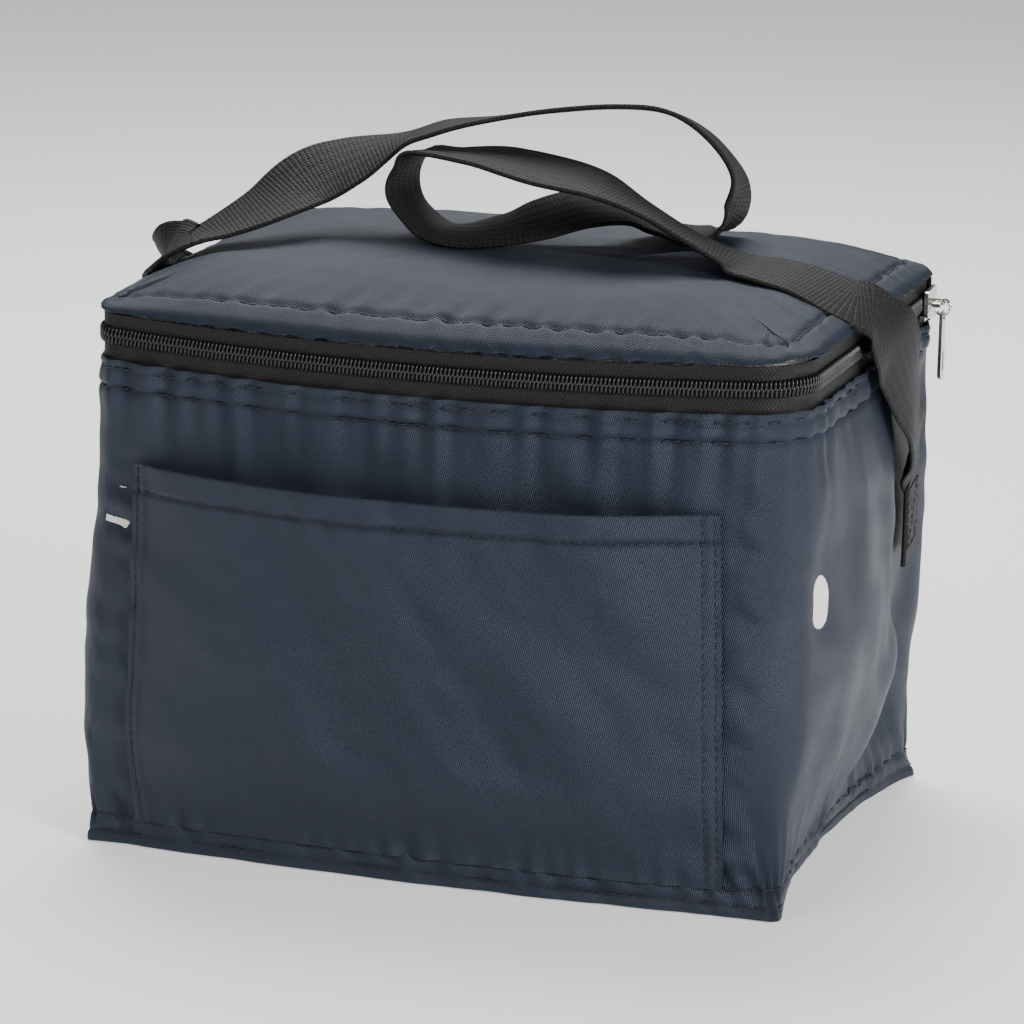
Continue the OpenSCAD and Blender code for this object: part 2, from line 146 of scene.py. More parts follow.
# ---------------------------------------------------------------- the bag's shape
@dataclass(frozen=True)
class BagShape:
    """The outside of the bag as a function of a place on its outline and a height, in mm.

    A place runs from 0 at the back of the left side, round the front, to 60.
    """

    top_width: float = 215
    base_width: float = 204
    top_depth: float = 148
    base_depth: float = 144
    wall_height: float = 143
    band_height: float = 13
    lid_crown: float = 12
    top_corner: float = 15
    base_corner: float = 4
    ear_length: float = 2.4
    front_swell: float = 5
    back_swell: float = 3
    side_swell: float = 6
    side_dent: float = 7.5
    rim_sag: float = 3
    hem_height: float = 8.5

    @property
    def rim(self) -> float:
        """Height of the lid's edge."""
        return self.wall_height + self.band_height

    @property
    def coil_middle(self) -> float:
        """Height of the middle of the zip."""
        return self.wall_height + self.band_height / 2 + 0.2

    def half_width(self, z: Array | float) -> Array | float:
        """Half the bag's width at a height."""
        return mix(self.base_width, self.top_width, np.clip(z / self.wall_height, 0, 1)) / 2

    def half_depth(self, z: Array | float) -> Array | float:
        """Half the bag's depth at a height."""
        return mix(self.base_depth, self.top_depth, np.clip(z / self.wall_height, 0, 1)) / 2

    def plan(self, place: Array, inset: Array | float, z: Array | float) -> tuple[Array, Array]:
        """Rounded rectangle at a height, set in from the outside.

        Args:
            place: Places on the outline.
            inset: How far in, in mm.
            z: Heights in mm.

        Returns:
            The x and y of each place.
        """
        place, inset, z = np.broadcast_arrays(np.mod(place, 60.0), inset, np.asarray(z, float))
        w, d = self.half_width(z) - inset, self.half_depth(z) - inset
        full = mix(self.base_corner, self.top_corner, ease(z / 60))
        back_share = mix(0.35, 0.8, ease((z - 110) / 30))
        fl, fr, br, bl = (np.maximum(1.2, full * k - inset)
                          for k in (0.5, 1.0, back_share, back_share))
        starts = [0, 8, 12, 26, 30, 38, 42, 56]
        spans = [8, 4, 14, 4, 8, 4, 14, 4]
        t = [np.clip((place - a) / n, 0, 1) for a, n in zip(starts, spans)]
        a = [k * math.pi / 2 for k in t]
        xs = [-w, fl - w - fl * np.cos(a[1]), mix(fl - w, w - fr, t[2]), w - fr + fr * np.sin(a[3]),
              w, w - br + br * np.cos(a[5]), mix(w - br, bl - w, t[6]), bl - w - bl * np.sin(a[7])]
        ys = [mix(d - bl, fl - d, t[0]), fl - d - fl * np.sin(a[1]), -d, fr - d - fr * np.cos(a[3]),
              mix(fr - d, d - br, t[4]), d - br + br * np.sin(a[5]), d, d - bl + bl * np.cos(a[7])]
        which = np.searchsorted(starts, place, side="right") - 1
        return np.choose(which, xs), np.choose(which, ys)

    def crease(self, x: Array, y: Array, z: Array) -> Array:
        """How far a side's slack cloth is drawn in behind the fold below the strap's end."""
        line = 4 + 34 * np.clip(z / 78, 0, 1.2)
        behind = ease((y - line) / 15) * (1 - ease((y - 48) / 20))
        tall = ease((z - 7) / 20) * (1 - ease((z - 44) / 30))
        proud = 1.6 * np.exp(-((y - line + 3) / 9) ** 2) * tall
        side = np.where(x > 0, 1.0, 0.55)
        return (6.5 * behind * tall - proud) * side

    def lopsided(self, x: Array, y: Array, z: Array, v: Array) -> Array:
        """How the two sides differ, as a shift along x in mm: the left side leans in at its top
        and bellies out low at the front, and the right side falls away behind the strap's end."""
        left = (ease((z - 60) / 90) * mix(7.0, 2.5, np.clip((v + 1) / 2, 0, 1))
                - 4.2 * np.exp(-((z - 34) / 24) ** 2) * ease((-v - 0.2) / 0.6))
        window = ease((z - 48) / 26) * (1 - ease((z - 120) / 22))
        right = window * (1.6 * np.exp(-((y + 12) / 30) ** 2)
                          - 4.4 * ease((y - 6) / 30) * (1 - ease((y - 56) / 16)))
        return np.where(x < 0, left, right)

    def settle(self, x: Array, y: Array, z: Array) -> tuple[Array, Array, Array]:
        """Plan points moved to where the slack cloth really is."""
        u, v = x / self.half_width(z), y / self.half_depth(z)
        tall = np.sin(math.pi * np.clip(z / self.wall_height, 0, 1))
        side = self.side_swell * tall - self.side_dent * np.exp(-((z / 30) ** 2))
        front = mix(self.front_swell, self.front_swell - 1, np.clip(z / self.rim, 0, 1))
        lean = np.where(v < 0, front, self.back_swell * tall)
        ear = self.ear_length * (1 - ease(z / self.hem_height)) * np.abs(u * v) ** 14
        open_v, open_u = 1 - np.minimum(1, v * v), 1 - np.minimum(1, u * u)
        crease = self.crease(x, y, z) * np.abs(u) ** 3
        sag = np.where(v < 0, v * v, 0) * open_u * self.rim_sag * ease((z - 60) / 84)
        tilt = self.lopsided(x, y, z, v) * u * u
        return (x + u * side * open_v + np.sign(u) * (ear - crease) + tilt,
                y + v * lean * open_u + np.sign(v) * ear, z - sag)

    def wall(self, place: Array, z: Array, inset: float = 0.0) -> Array:
        """Points on a wall layer that moves as the outside does.

        Args:
            place: Places on the outline.
            z: Heights in mm.
            inset: How far in the layer lies, in mm.

        Returns:
            The points, in mm, along a last axis of three.
        """
        place, z = np.broadcast_arrays(place, np.asarray(z, float))
        ox, oy = self.plan(place, 0.0, z)
        ix, iy = self.plan(place, inset, z)
        sx, sy, sz = self.settle(ox, oy, z)
        return np.stack([sx + ix - ox, sy + iy - oy, sz], -1)

    def crown(self, x: Array, y: Array) -> Array:
        """Height of the lid's top cloth over its edge."""
        u = np.minimum(1, np.abs(x / self.half_width(self.rim)))
        v = np.minimum(1, np.abs(y / self.half_depth(self.rim)))
        return self.lid_crown * (1 - u ** 6) * (1 - v ** 6)

    def lid(self, place: Array, inset: Array, lift: Array | float) -> Array:
        """Points on a layer of the lid.

        Args:
            place: Places on the outline.
            inset: How far in from the edge, in mm.
            lift: Height over the crowned surface, in mm.

        Returns:
            The points, in mm.
        """
        x, y = self.plan(place, inset, self.rim)
        sx, sy, sz = self.settle(x, y, np.full(np.shape(x), self.rim))
        return np.stack([sx, sy, sz + lift + self.crown(x, y)], -1)


SHAPE = BagShape()
ZIP_END, BACK_START, BACK_END, LAP = 38, 42, 56, 60


def places(start: float, end: float, side: int = 8, front: int = 7, corner: int = 3) -> Array:
    """Places between two others, closer together on long runs than round corners.

    Args:
        start: First place.
        end: Last place, past 60 where the stretch goes round the back.
        side: Columns to each step of a side.
        front: Columns to each step of the front or back.
        corner: Columns to each step of a corner.

    Returns:
        Rising places, both ends among them.
    """
    found: list[float] = []
    for k in range(int(math.floor(start)), int(math.ceil(end))):
        p = k % LAP
        n = side if p < 8 or 30 <= p < 38 else front if 12 <= p < 26 or 42 <= p < 56 else corner
        found += [k + j / n for j in range(n)]
    return np.array([start] + [p for p in found if start + 0.02 < p < end - 0.02] + [end])


def arc(points: Array) -> Array:
    """Distance along a row of points, from 0."""
    steps = np.linalg.norm(np.diff(points, axis=0), axis=1)
    return np.concatenate([[0.0], np.cumsum(steps)])


# ---------------------------------------------------------------- mesh making
def select_only(piece: bpy.types.Object) -> None:
    """Makes one object the only selected and the active one."""
    bpy.ops.object.select_all(action="DESELECT")
    piece.select_set(True)
    bpy.context.view_layer.objects.active = piece


def apply_modifiers(piece: bpy.types.Object) -> None:
    """Applies all modifiers of a piece, in order."""
    select_only(piece)
    for modifier in list(piece.modifiers):
        bpy.ops.object.modifier_apply(modifier=modifier.name)


def cloth_grid(name: str, points: Array, cut: Array, thickness: float = 0.0,
               offset: float = -1.0, closed: bool = False, pole: bool = False) -> bpy.types.Object:
    """A sheet of cloth laid through rows of points.

    Args:
        name: The piece's name.
        points: Rows by columns by three, in mm. Columns run along, rows up.
        cut: Rows by columns by two, each point's place on the flat cloth in mm.
        thickness: The cloth's thickness in mm, or 0 for a single skin.
        offset: Side on which the thickness goes, -1 for behind the cloth's face.
        closed: Whether the last column meets the first.
        pole: Whether the last row closes to one point.

    Returns:
        The piece, with its flat places in metres as its UV map.
    """
    rows, columns = points.shape[:2]
    bpy.ops.object.select_all(action="DESELECT")
    bpy.ops.mesh.primitive_grid_add(x_subdivisions=columns - 1, y_subdivisions=rows - 1, size=1)
    piece = bpy.context.active_object
    piece.name = piece.data.name = name
    mesh = piece.data
    mesh.vertices.foreach_set("co", (points.reshape(-1, 3) * MM).astype(np.float32).ravel())
    corners = np.empty(len(mesh.loops), np.int32)
    mesh.loops.foreach_get("vertex_index", corners)
    flat = (cut.reshape(-1, 2) * MM).astype(np.float32)
    mesh.uv_layers[0].data.foreach_set("uv", flat[corners].ravel())
    mesh.update()
    if closed or pole:
        bpy.ops.object.mode_set(mode="EDIT")
        bpy.ops.mesh.select_all(action="SELECT")
        bpy.ops.mesh.remove_doubles(threshold=2e-6)
        bpy.ops.object.mode_set(mode="OBJECT")
    if thickness:
        solid = piece.modifiers.new("Thickness", "SOLIDIFY")
        solid.thickness, solid.offset, solid.use_quality_normals = thickness * MM, offset, True
        apply_modifiers(piece)
    select_only(piece)
    bpy.ops.object.shade_smooth_by_angle(angle=math.radians(50))
    return piece


def copies(name: str, template: bpy.types.Object, frames: Array) -> bpy.types.Object:
    """One mesh of many copies of a small template, which is then removed.

    Args:
        name: The new piece's name.
        template: The shape to copy, in mm about the origin.
        frames: Count by 4 by 3: three axes and the place of each copy, in mm.

    Returns:
        The piece.
    """
    source = template.data
    points = np.array([v.co for v in source.vertices])
    faces = [list(f.vertices) for f in source.polygons]
    spread = np.einsum("vk,nkc->nvc", points, frames[:, :3]) + frames[:, 3][:, None]
    mesh = bpy.data.meshes.new(name)
    size = len(points)
    mesh.from_pydata((spread.reshape(-1, 3) * MM).tolist(), [],
                     [[i + k * size for i in f] for k in range(len(frames)) for f in faces])
    piece = bpy.data.objects.new(name, mesh)
    bpy.context.scene.collection.objects.link(piece)
    bpy.data.objects.remove(template)
    mesh.shade_smooth()
    return piece


def surface_frames(points: Array, out: Array) -> Array:
    """Axes along, across and out at the middle of each stretch of a row of points.

    Args:
        points: The row, in mm.
        out: Directions away from the surface, one for each point.

    Returns:
        Count by 4 by 3: the axes and the middle of each stretch.
    """
    along = unit(np.diff(points, axis=0))
    away = (out[1:] + out[:-1]) / 2
    away = unit(away - (away * along).sum(-1, keepdims=True) * along)
    across = np.cross(away, along)
    middle = (points[1:] + points[:-1]) / 2
    return np.stack([along, across, away, middle], 1)


def even(points: Array, pitch: float) -> Array:
    """The same line with its points a pitch apart."""
    along = arc(points)
    count = max(2, int(round(along[-1] / pitch)) + 1)
    wanted = np.linspace(0, along[-1], count)
    return np.stack([np.interp(wanted, along, points[:, k]) for k in range(points.shape[1])], 1)


def normals(points: Array) -> Array:
    """Outward directions of a grid of points whose columns run along and rows up."""
    along = np.gradient(points, axis=1)
    up = np.gradient(points, axis=0)
    return unit(np.cross(along, up))


def finish_piece(piece: bpy.types.Object, body: Body, slot: Slot, material: bpy.types.Material,
                 *nodes: str) -> bpy.types.Object:
    """Dresses a piece, puts it on its body and hides the CAD nodes that it stands for.

    Args:
        piece: The piece.
        body: The body it rides on.
        slot: Not used.
        material: Its finish.
        *nodes: CAD nodes that it stands for.

    Returns:
        The piece.
    """
    piece.data.materials.clear()
    piece.data.materials.append(material)
    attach(piece, body.value)
    if nodes:
        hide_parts(*nodes)
    log.info("%s: %d faces on %s", piece.name, len(piece.data.polygons), body.value)
    return piece


# ---------------------------------------------------------------- finishes
class Graph:
    """A material's nodes, wired by short calls."""

    def __init__(self, name: str) -> None:
        """Starts a material with an empty Principled surface."""
        self.material = bpy.data.materials.new(name)
        self.material.use_nodes = True
        self.tree = self.material.node_tree
        self.shader = self.tree.nodes["Principled BSDF"]

    def add(self, kind: str, **values: object) -> bpy.types.Node:
        """Adds a node.

        Args:
            kind: The node's type.
            **values: Its properties, and its inputs, whose names start with in_.

        Returns:
            The node.
        """
        node = self.tree.nodes.new(kind)
        for key, value in values.items():
            if not key.startswith("in_"):
                setattr(node, key, value)
        for key, value in values.items():
            if key.startswith("in_"):
                socket = node.inputs[int(key[3:])] if key[3:].isdigit() else node.inputs[key[3:]]
                if isinstance(value, bpy.types.NodeSocket):
                    self.tree.links.new(value, socket)
                else:
                    socket.default_value = value
        return node

    def sum(self, kind: str, a: object, b: object) -> bpy.types.NodeSocket:
        """Result of a Math node on two values."""
        return self.add("ShaderNodeMath", operation=kind, in_0=a, in_1=b).outputs[0]

    def colour(self, factor: bpy.types.NodeSocket, low: Colour,
               high: Colour) -> bpy.types.NodeSocket:
        """Mix of two colours by a factor."""
        node = self.add("ShaderNodeMix", data_type="RGBA", in_Factor=factor)
        node.inputs[6].default_value, node.inputs[7].default_value = (*low, 1), (*high, 1)
        return node.outputs[2]

    def ramp(self, value: bpy.types.NodeSocket, low: float, high: float,
             to_low: float = 0.0, to_high: float = 1.0) -> bpy.types.NodeSocket:
        """A value mapped smoothly from one range to another."""
        return self.add("ShaderNodeMapRange", interpolation_type="SMOOTHSTEP", in_0=value, in_1=low,
                        in_2=high, in_3=to_low, in_4=to_high).outputs[0]

    def axes(self, output: bpy.types.NodeSocket) -> list[bpy.types.NodeSocket]:
        """The x, y and z of a vector."""
        return list(self.add("ShaderNodeSeparateXYZ", in_0=output).outputs)

    def bumps(self, *layers: tuple[bpy.types.NodeSocket, float]) -> None:
        """Raises the surface by heights, each with its depth in metres."""
        below = None
        for height, depth in layers:
            node = self.add("ShaderNodeBump", in_Height=height, in_Distance=depth, in_Strength=1.0)
            if below is not None:
                self.tree.links.new(below, node.inputs["Normal"])
            below = node.outputs[0]
        self.tree.links.new(below, self.shader.inputs["Normal"])

    def surface(self, colour: bpy.types.NodeSocket, roughness: bpy.types.NodeSocket,
                **fixed: object) -> bpy.types.Material:
        """Joins colour and roughness to the surface and sets what is the same all over."""
        self.tree.links.new(colour, self.shader.inputs["Base Color"])
        self.tree.links.new(roughness, self.shader.inputs["Roughness"])
        for key, value in fixed.items():
            self.shader.inputs[key.replace("_", " ")].default_value = value
        return self.material


@dataclass(frozen=True)
class NavyNylon:
    """Fine coated nylon with a slanting weave and a soft sheen."""

    name: str = "navy_nylon"
    low: Colour = (0.0022, 0.0042, 0.0105)
    high: Colour = (0.0062, 0.0108, 0.0235)
    pitch: float = 0.00072
    roughness: float = 0.44
    depth: float = 0.00016

    def make(self) -> bpy.types.Material:
        """Builds the finish from the piece's flat cloth places."""
        g = Graph(self.name)
        uv = g.add("ShaderNodeTexCoord").outputs["UV"]
        x, y, _ = g.axes(uv)
        turn = 2 * math.pi / self.pitch
        warp = g.sum("SINE", g.sum("MULTIPLY", g.sum("ADD", x, g.sum("MULTIPLY", y, 0.5)), turn),
                     0.0)
        weft = g.sum("SINE", g.sum("MULTIPLY", g.sum("SUBTRACT", y, g.sum("MULTIPLY", x, 0.35)),
                                   turn * 0.8), 0.0)
        weave = g.sum("ADD", g.sum("MULTIPLY", g.sum("MULTIPLY", warp, weft), 0.5), 0.5)
        cloudy = g.add("ShaderNodeTexNoise", in_Vector=uv, in_Scale=38.0, in_Detail=4.0).outputs[0]
        slub = g.add("ShaderNodeTexNoise", in_Vector=g.add("ShaderNodeMapping", in_0=uv,
                     in_Scale=(1.0, 9.0, 1.0)).outputs[0], in_Scale=260.0, in_Detail=2.0).outputs[0]
        tone = g.sum("ADD", g.sum("MULTIPLY", weave, 0.55), g.sum("MULTIPLY", cloudy, 0.45))
        rough = g.sum("ADD", g.ramp(cloudy, 0.3, 0.7, self.roughness - 0.05, self.roughness + 0.05),
                      g.sum("MULTIPLY", weave, 0.04))
        g.bumps((slub, 0.00006), (weave, self.depth))
        return g.surface(g.colour(tone, self.low, self.high), rough, Specular_IOR_Level=0.5,
                         Specular_Tint=(0.74, 0.83, 1.0, 1.0), Sheen_Weight=0.03,
                         Sheen_Roughness=0.4,
                         Sheen_Tint=(0.45, 0.56, 0.85, 1.0))


@dataclass(frozen=True)
class BlackWebbing:
    """Thick black polypropylene webbing in a plain weave of flat yarns."""

    name: str = "black_webbing"
    along: float = 0.0026
    across: float = 0.0021

    def make(self) -> bpy.types.Material:
        """Builds the finish from the strap's flat places."""
        g = Graph(self.name)
        uv = g.add("ShaderNodeTexCoord").outputs["UV"]
        x, y, _ = g.axes(uv)
        row = g.sum("MULTIPLY", x, math.pi * 2 / self.along)
        end = g.sum("MULTIPLY", y, math.pi * 2 / self.across)
        over = g.sum("MULTIPLY", g.sum("SINE", row, 0.0), g.sum("SINE", end, 0.0))
        yarn = g.ramp(g.sum("ABSOLUTE", over, 0.0), 0.0, 0.75)
        lift = g.sum("ADD", g.sum("MULTIPLY", g.sum("SIGN", over, 0.0),
                                  g.sum("MULTIPLY", yarn, 0.30)),
                     g.sum("MULTIPLY", yarn, 0.7))
        hair = g.add("ShaderNodeTexNoise", in_Vector=g.add("ShaderNodeMapping", in_0=uv,
                     in_Scale=(1.0, 5.0, 1.0)).outputs[0], in_Scale=1500.0,
                     in_Detail=3.0).outputs[0]
        tone = g.sum("ADD", g.sum("MULTIPLY", yarn, 0.6), g.sum("MULTIPLY", hair, 0.4))
        rough = g.ramp(hair, 0.3, 0.7, 0.5, 0.68)
        g.bumps((hair, 0.00008), (lift, 0.00042))
        return g.surface(g.colour(tone, (0.0006, 0.0005, 0.0006), (0.0065, 0.0056, 0.0062)), rough,
                         Specular_IOR_Level=0.3, Sheen_Weight=0.02, Sheen_Roughness=0.5)


@dataclass(frozen=True)
class WovenTape:
    """Black tape in herringbone or plain weave."""

    name: str = "zip_tape_cloth"
    colour: Colour = (0.0022, 0.002, 0.0023)
    rib: float = 0.0011
    slant: float = 0.8

    def make(self) -> bpy.types.Material:
        """Builds the finish from the tape's flat places."""
        g = Graph(self.name)
        uv = g.add("ShaderNodeTexCoord").outputs["UV"]
        x, y, _ = g.axes(uv)
        turn = 2 * math.pi / self.rib
        zigzag = g.sum("PINGPONG", y, 0.0018)
        rib = g.sum("SINE",
                    g.sum("MULTIPLY", g.sum("ADD", x, g.sum("MULTIPLY", zigzag, self.slant)), turn),
                    0.0)
        wave = g.sum("ADD", g.sum("MULTIPLY", rib, 0.5), 0.5)
        fuzz = g.add("ShaderNodeTexNoise", in_Vector=uv, in_Scale=1400.0, in_Detail=2.0).outputs[0]
        tone = g.sum("ADD", g.sum("MULTIPLY", wave, 0.5), g.sum("MULTIPLY", fuzz, 0.5))
        lit = tuple(min(1.0, 2.2 * c) for c in self.colour)
        g.bumps((fuzz, 0.00005), (wave, 0.00012))
        return g.surface(g.colour(tone, self.colour, lit), g.ramp(fuzz, 0.3, 0.7, 0.55, 0.75),
                         Specular_IOR_Level=0.35)


@dataclass(frozen=True)
class Moulded:
    """A smooth finish with slight variation: plastic coil, thread or plated metal."""

    name: str
    low: Colour
    high: Colour
    roughness: float
    metallic: float = 0.0
    grain: float = 900.0
    depth: float = 0.00001
    specular: float = 0.5

    def make(self) -> bpy.types.Material:
        """Builds the finish on the piece's own coordinates."""
        g = Graph(self.name)
        at = g.add("ShaderNodeTexCoord").outputs["Object"]
        fine = g.add("ShaderNodeTexNoise", in_Vector=at, in_Scale=self.grain,
                     in_Detail=3.0).outputs[0]
        broad = g.add("ShaderNodeTexNoise", in_Vector=at, in_Scale=60.0, in_Detail=2.0).outputs[0]
        rough = g.ramp(broad, 0.3, 0.7, self.roughness * 0.8, self.roughness * 1.25)
        g.bumps((fine, self.depth))
        return g.surface(g.colour(fine, self.low, self.high), rough, Metallic=self.metallic,
                         Specular_IOR_Level=self.specular)


@dataclass(frozen=True)
class FoamCells:
    """White closed-cell foam."""

    name: str = "white_foam"

    def make(self) -> bpy.types.Material:
        """Builds the finish: small round cells and faint clouding."""
        g = Graph(self.name)
        at = g.add("ShaderNodeTexCoord").outputs["Object"]
        cells = g.add("ShaderNodeTexVoronoi", in_Vector=at, in_Scale=1100.0).outputs[0]
        cloud = g.add("ShaderNodeTexNoise", in_Vector=at, in_Scale=45.0).outputs[0]
        g.bumps((cells, 0.0002))
        tone = g.sum("ADD", g.sum("MULTIPLY", cells, 0.6), g.sum("MULTIPLY", cloud, 0.4))
        return g.surface(g.colour(tone, (0.66, 0.64, 0.6), (0.86, 0.85, 0.82)),
                         g.ramp(cloud, 0.3, 0.7, 0.75, 0.9),
                         Specular_IOR_Level=0.25)


@dataclass(frozen=True)
class SilverFilm:
    """Crinkled silver film on the heat-sealed liner."""

    name: str = "silver_liner"

    def make(self) -> bpy.types.Material:
        """Builds the finish: crinkles and fine pressed dots."""
        g = Graph(self.name)
        at = g.add("ShaderNodeTexCoord").outputs["Object"]
        crinkle = g.add("ShaderNodeTexVoronoi", feature="DISTANCE_TO_EDGE", in_Vector=g.add(
            "ShaderNodeTexNoise", in_Vector=at, in_Scale=30.0).outputs[1], in_Scale=9.0).outputs[0]
        soft = g.add("ShaderNodeTexNoise", in_Vector=at, in_Scale=70.0, in_Detail=5.0).outputs[0]
        fine = g.add("ShaderNodeTexVoronoi", in_Vector=at, in_Scale=700.0).outputs[0]
        g.bumps((soft, 0.0016), (g.ramp(crinkle, 0.0, 0.12), 0.0003), (fine, 0.00006))
        return g.surface(g.colour(soft, (0.48, 0.49, 0.5), (0.74, 0.75, 0.76)),
                         g.ramp(soft, 0.3, 0.7, 0.24, 0.4),
                         Metallic=0.85)


@dataclass
class Finishes:
    """Every finish, made once."""

    nylon: bpy.types.Material = field(init=False)
    webbing: bpy.types.Material = field(init=False)
    tape: bpy.types.Material = field(init=False)
    binding: bpy.types.Material = field(init=False)
    coil: bpy.types.Material = field(init=False)
    thread: bpy.types.Material = field(init=False)
    black_thread: bpy.types.Material = field(init=False)
    foam: bpy.types.Material = field(init=False)
    liner: bpy.types.Material = field(init=False)
    nickel: bpy.types.Material = field(init=False)

    def __post_init__(self) -> None:
        """Makes the materials."""
        self.nylon = NavyNylon().make()
        self.webbing = BlackWebbing().make()
        self.tape = WovenTape().make()
        self.binding = WovenTape("black_binding", (0.011, 0.011, 0.012), 0.0016, 0.0).make()
        self.coil = Moulded("coil_nylon", (0.002, 0.002, 0.0024), (0.005, 0.005, 0.006), 0.3,
                            specular=0.5).make()
        self.thread = Moulded("navy_thread", (0.0015, 0.003, 0.008), (0.004, 0.007, 0.015), 0.6,
                              grain=2500.0,
                              depth=0.00006).make()
        self.black_thread = Moulded("black_thread", (0.003, 0.003, 0.003), (0.012, 0.012, 0.012),
                                    0.5,
                                    grain=2500.0, depth=0.00006).make()
        self.foam = FoamCells().make()
        self.liner = SilverFilm().make()
        self.nickel = Moulded("nickel_plate", (0.62, 0.6, 0.58), (0.78, 0.76, 0.74), 0.16,
                              metallic=1.0).make()


# ---------------------------------------------------------------- studio
@dataclass
class Studio:
    """Camera, soft lights and a pale floor."""

    azimuth: float = 18.9
    elevation: float = 13.9
    roll: float = 0.6
    distance: float = 1.3
    lens: float = 156.3
    target: tuple[float, float, float] = (-0.0007, 0.0, 0.0898)

    def camera(self) -> None:
        """Makes the scene's camera."""
        az, el, roll = (math.radians(v) for v in (self.azimuth, self.elevation, self.roll))
        back = Vector((math.sin(az) * math.cos(el), -math.cos(az) * math.cos(el), math.sin(el)))
        right = Vector((0, 0, 1)).cross(back).normalized()
        up = back.cross(right)
        turned = right * math.cos(roll) + up * math.sin(roll)
        up = up * math.cos(roll) - right * math.sin(roll)
        data = bpy.data.cameras.new("view")
        data.lens, data.sensor_width, data.clip_end = self.lens, 36.0, 20.0
        data.clip_start = 0.05
        camera = bpy.data.objects.new("view", data)
        bpy.context.scene.collection.objects.link(camera)
        place = Matrix((turned, up, back)).transposed().to_4x4()
        place.translation = Vector(self.target) + back * self.distance
        camera.matrix_world = place
        bpy.context.scene.camera = camera

    def light(self, name: str, place: Sequence[float], size: float, power: float) -> None:
        """Adds a soft square light that faces the bag.

        Args:
            name: The light's name.
            place: Where it stands, in metres.
            size: Its side in metres.
            power: Its power in watts.
        """
        data = bpy.data.lights.new(name, "AREA")
        data.shape, data.size, data.energy = "SQUARE", size, power
        lamp = bpy.data.objects.new(name, data)
        bpy.context.scene.collection.objects.link(lamp)
        lamp.location = place
        lamp.rotation_euler = (
            Vector((0, 0, 0.08)) - Vector(place)).to_track_quat("-Z", "Y").to_euler()

    def build(self) -> None:
        """Makes the floor, the sky and the lights."""
        bpy.ops.object.select_all(action="DESELECT")
        bpy.ops.mesh.primitive_plane_add(size=12, location=(0, 0, -0.0004))
        floor = bpy.context.active_object
        floor.name = "floor"
        g = Graph("pale_floor")
        g.shader.inputs["Base Color"].default_value = (0.95, 0.95, 0.95, 1)
        g.shader.inputs["Emission Color"].default_value = (1, 1, 1, 1)
        g.shader.inputs["Emission Strength"].default_value = 0.35
        g.shader.inputs["Roughness"].default_value = 0.9
        floor.data.materials.append(g.material)
        world = bpy.data.worlds.new("studio")
        world.use_nodes = True
        sky = world.node_tree.nodes["Background"]
        sky.inputs[0].default_value = (1, 1, 1, 1)
        seen = world.node_tree.nodes.new("ShaderNodeLightPath").outputs["Is Camera Ray"]
        bright = world.node_tree.nodes.new("ShaderNodeMapRange")
        bright.inputs[3].default_value, bright.inputs[4].default_value = 0.22, 1.5
        world.node_tree.links.new(seen, bright.inputs[0])
        world.node_tree.links.new(bright.outputs[0], sky.inputs[1])
        bpy.context.scene.world = world
        self.light("key", (1.15, -0.62, 0.5), 0.42, 19.0)
        self.light("top", (-0.25, 0.55, 1.2), 0.8, 20.0)
        self.light("fill", (-0.9, -1.2, 0.8), 0.8, 6.0)


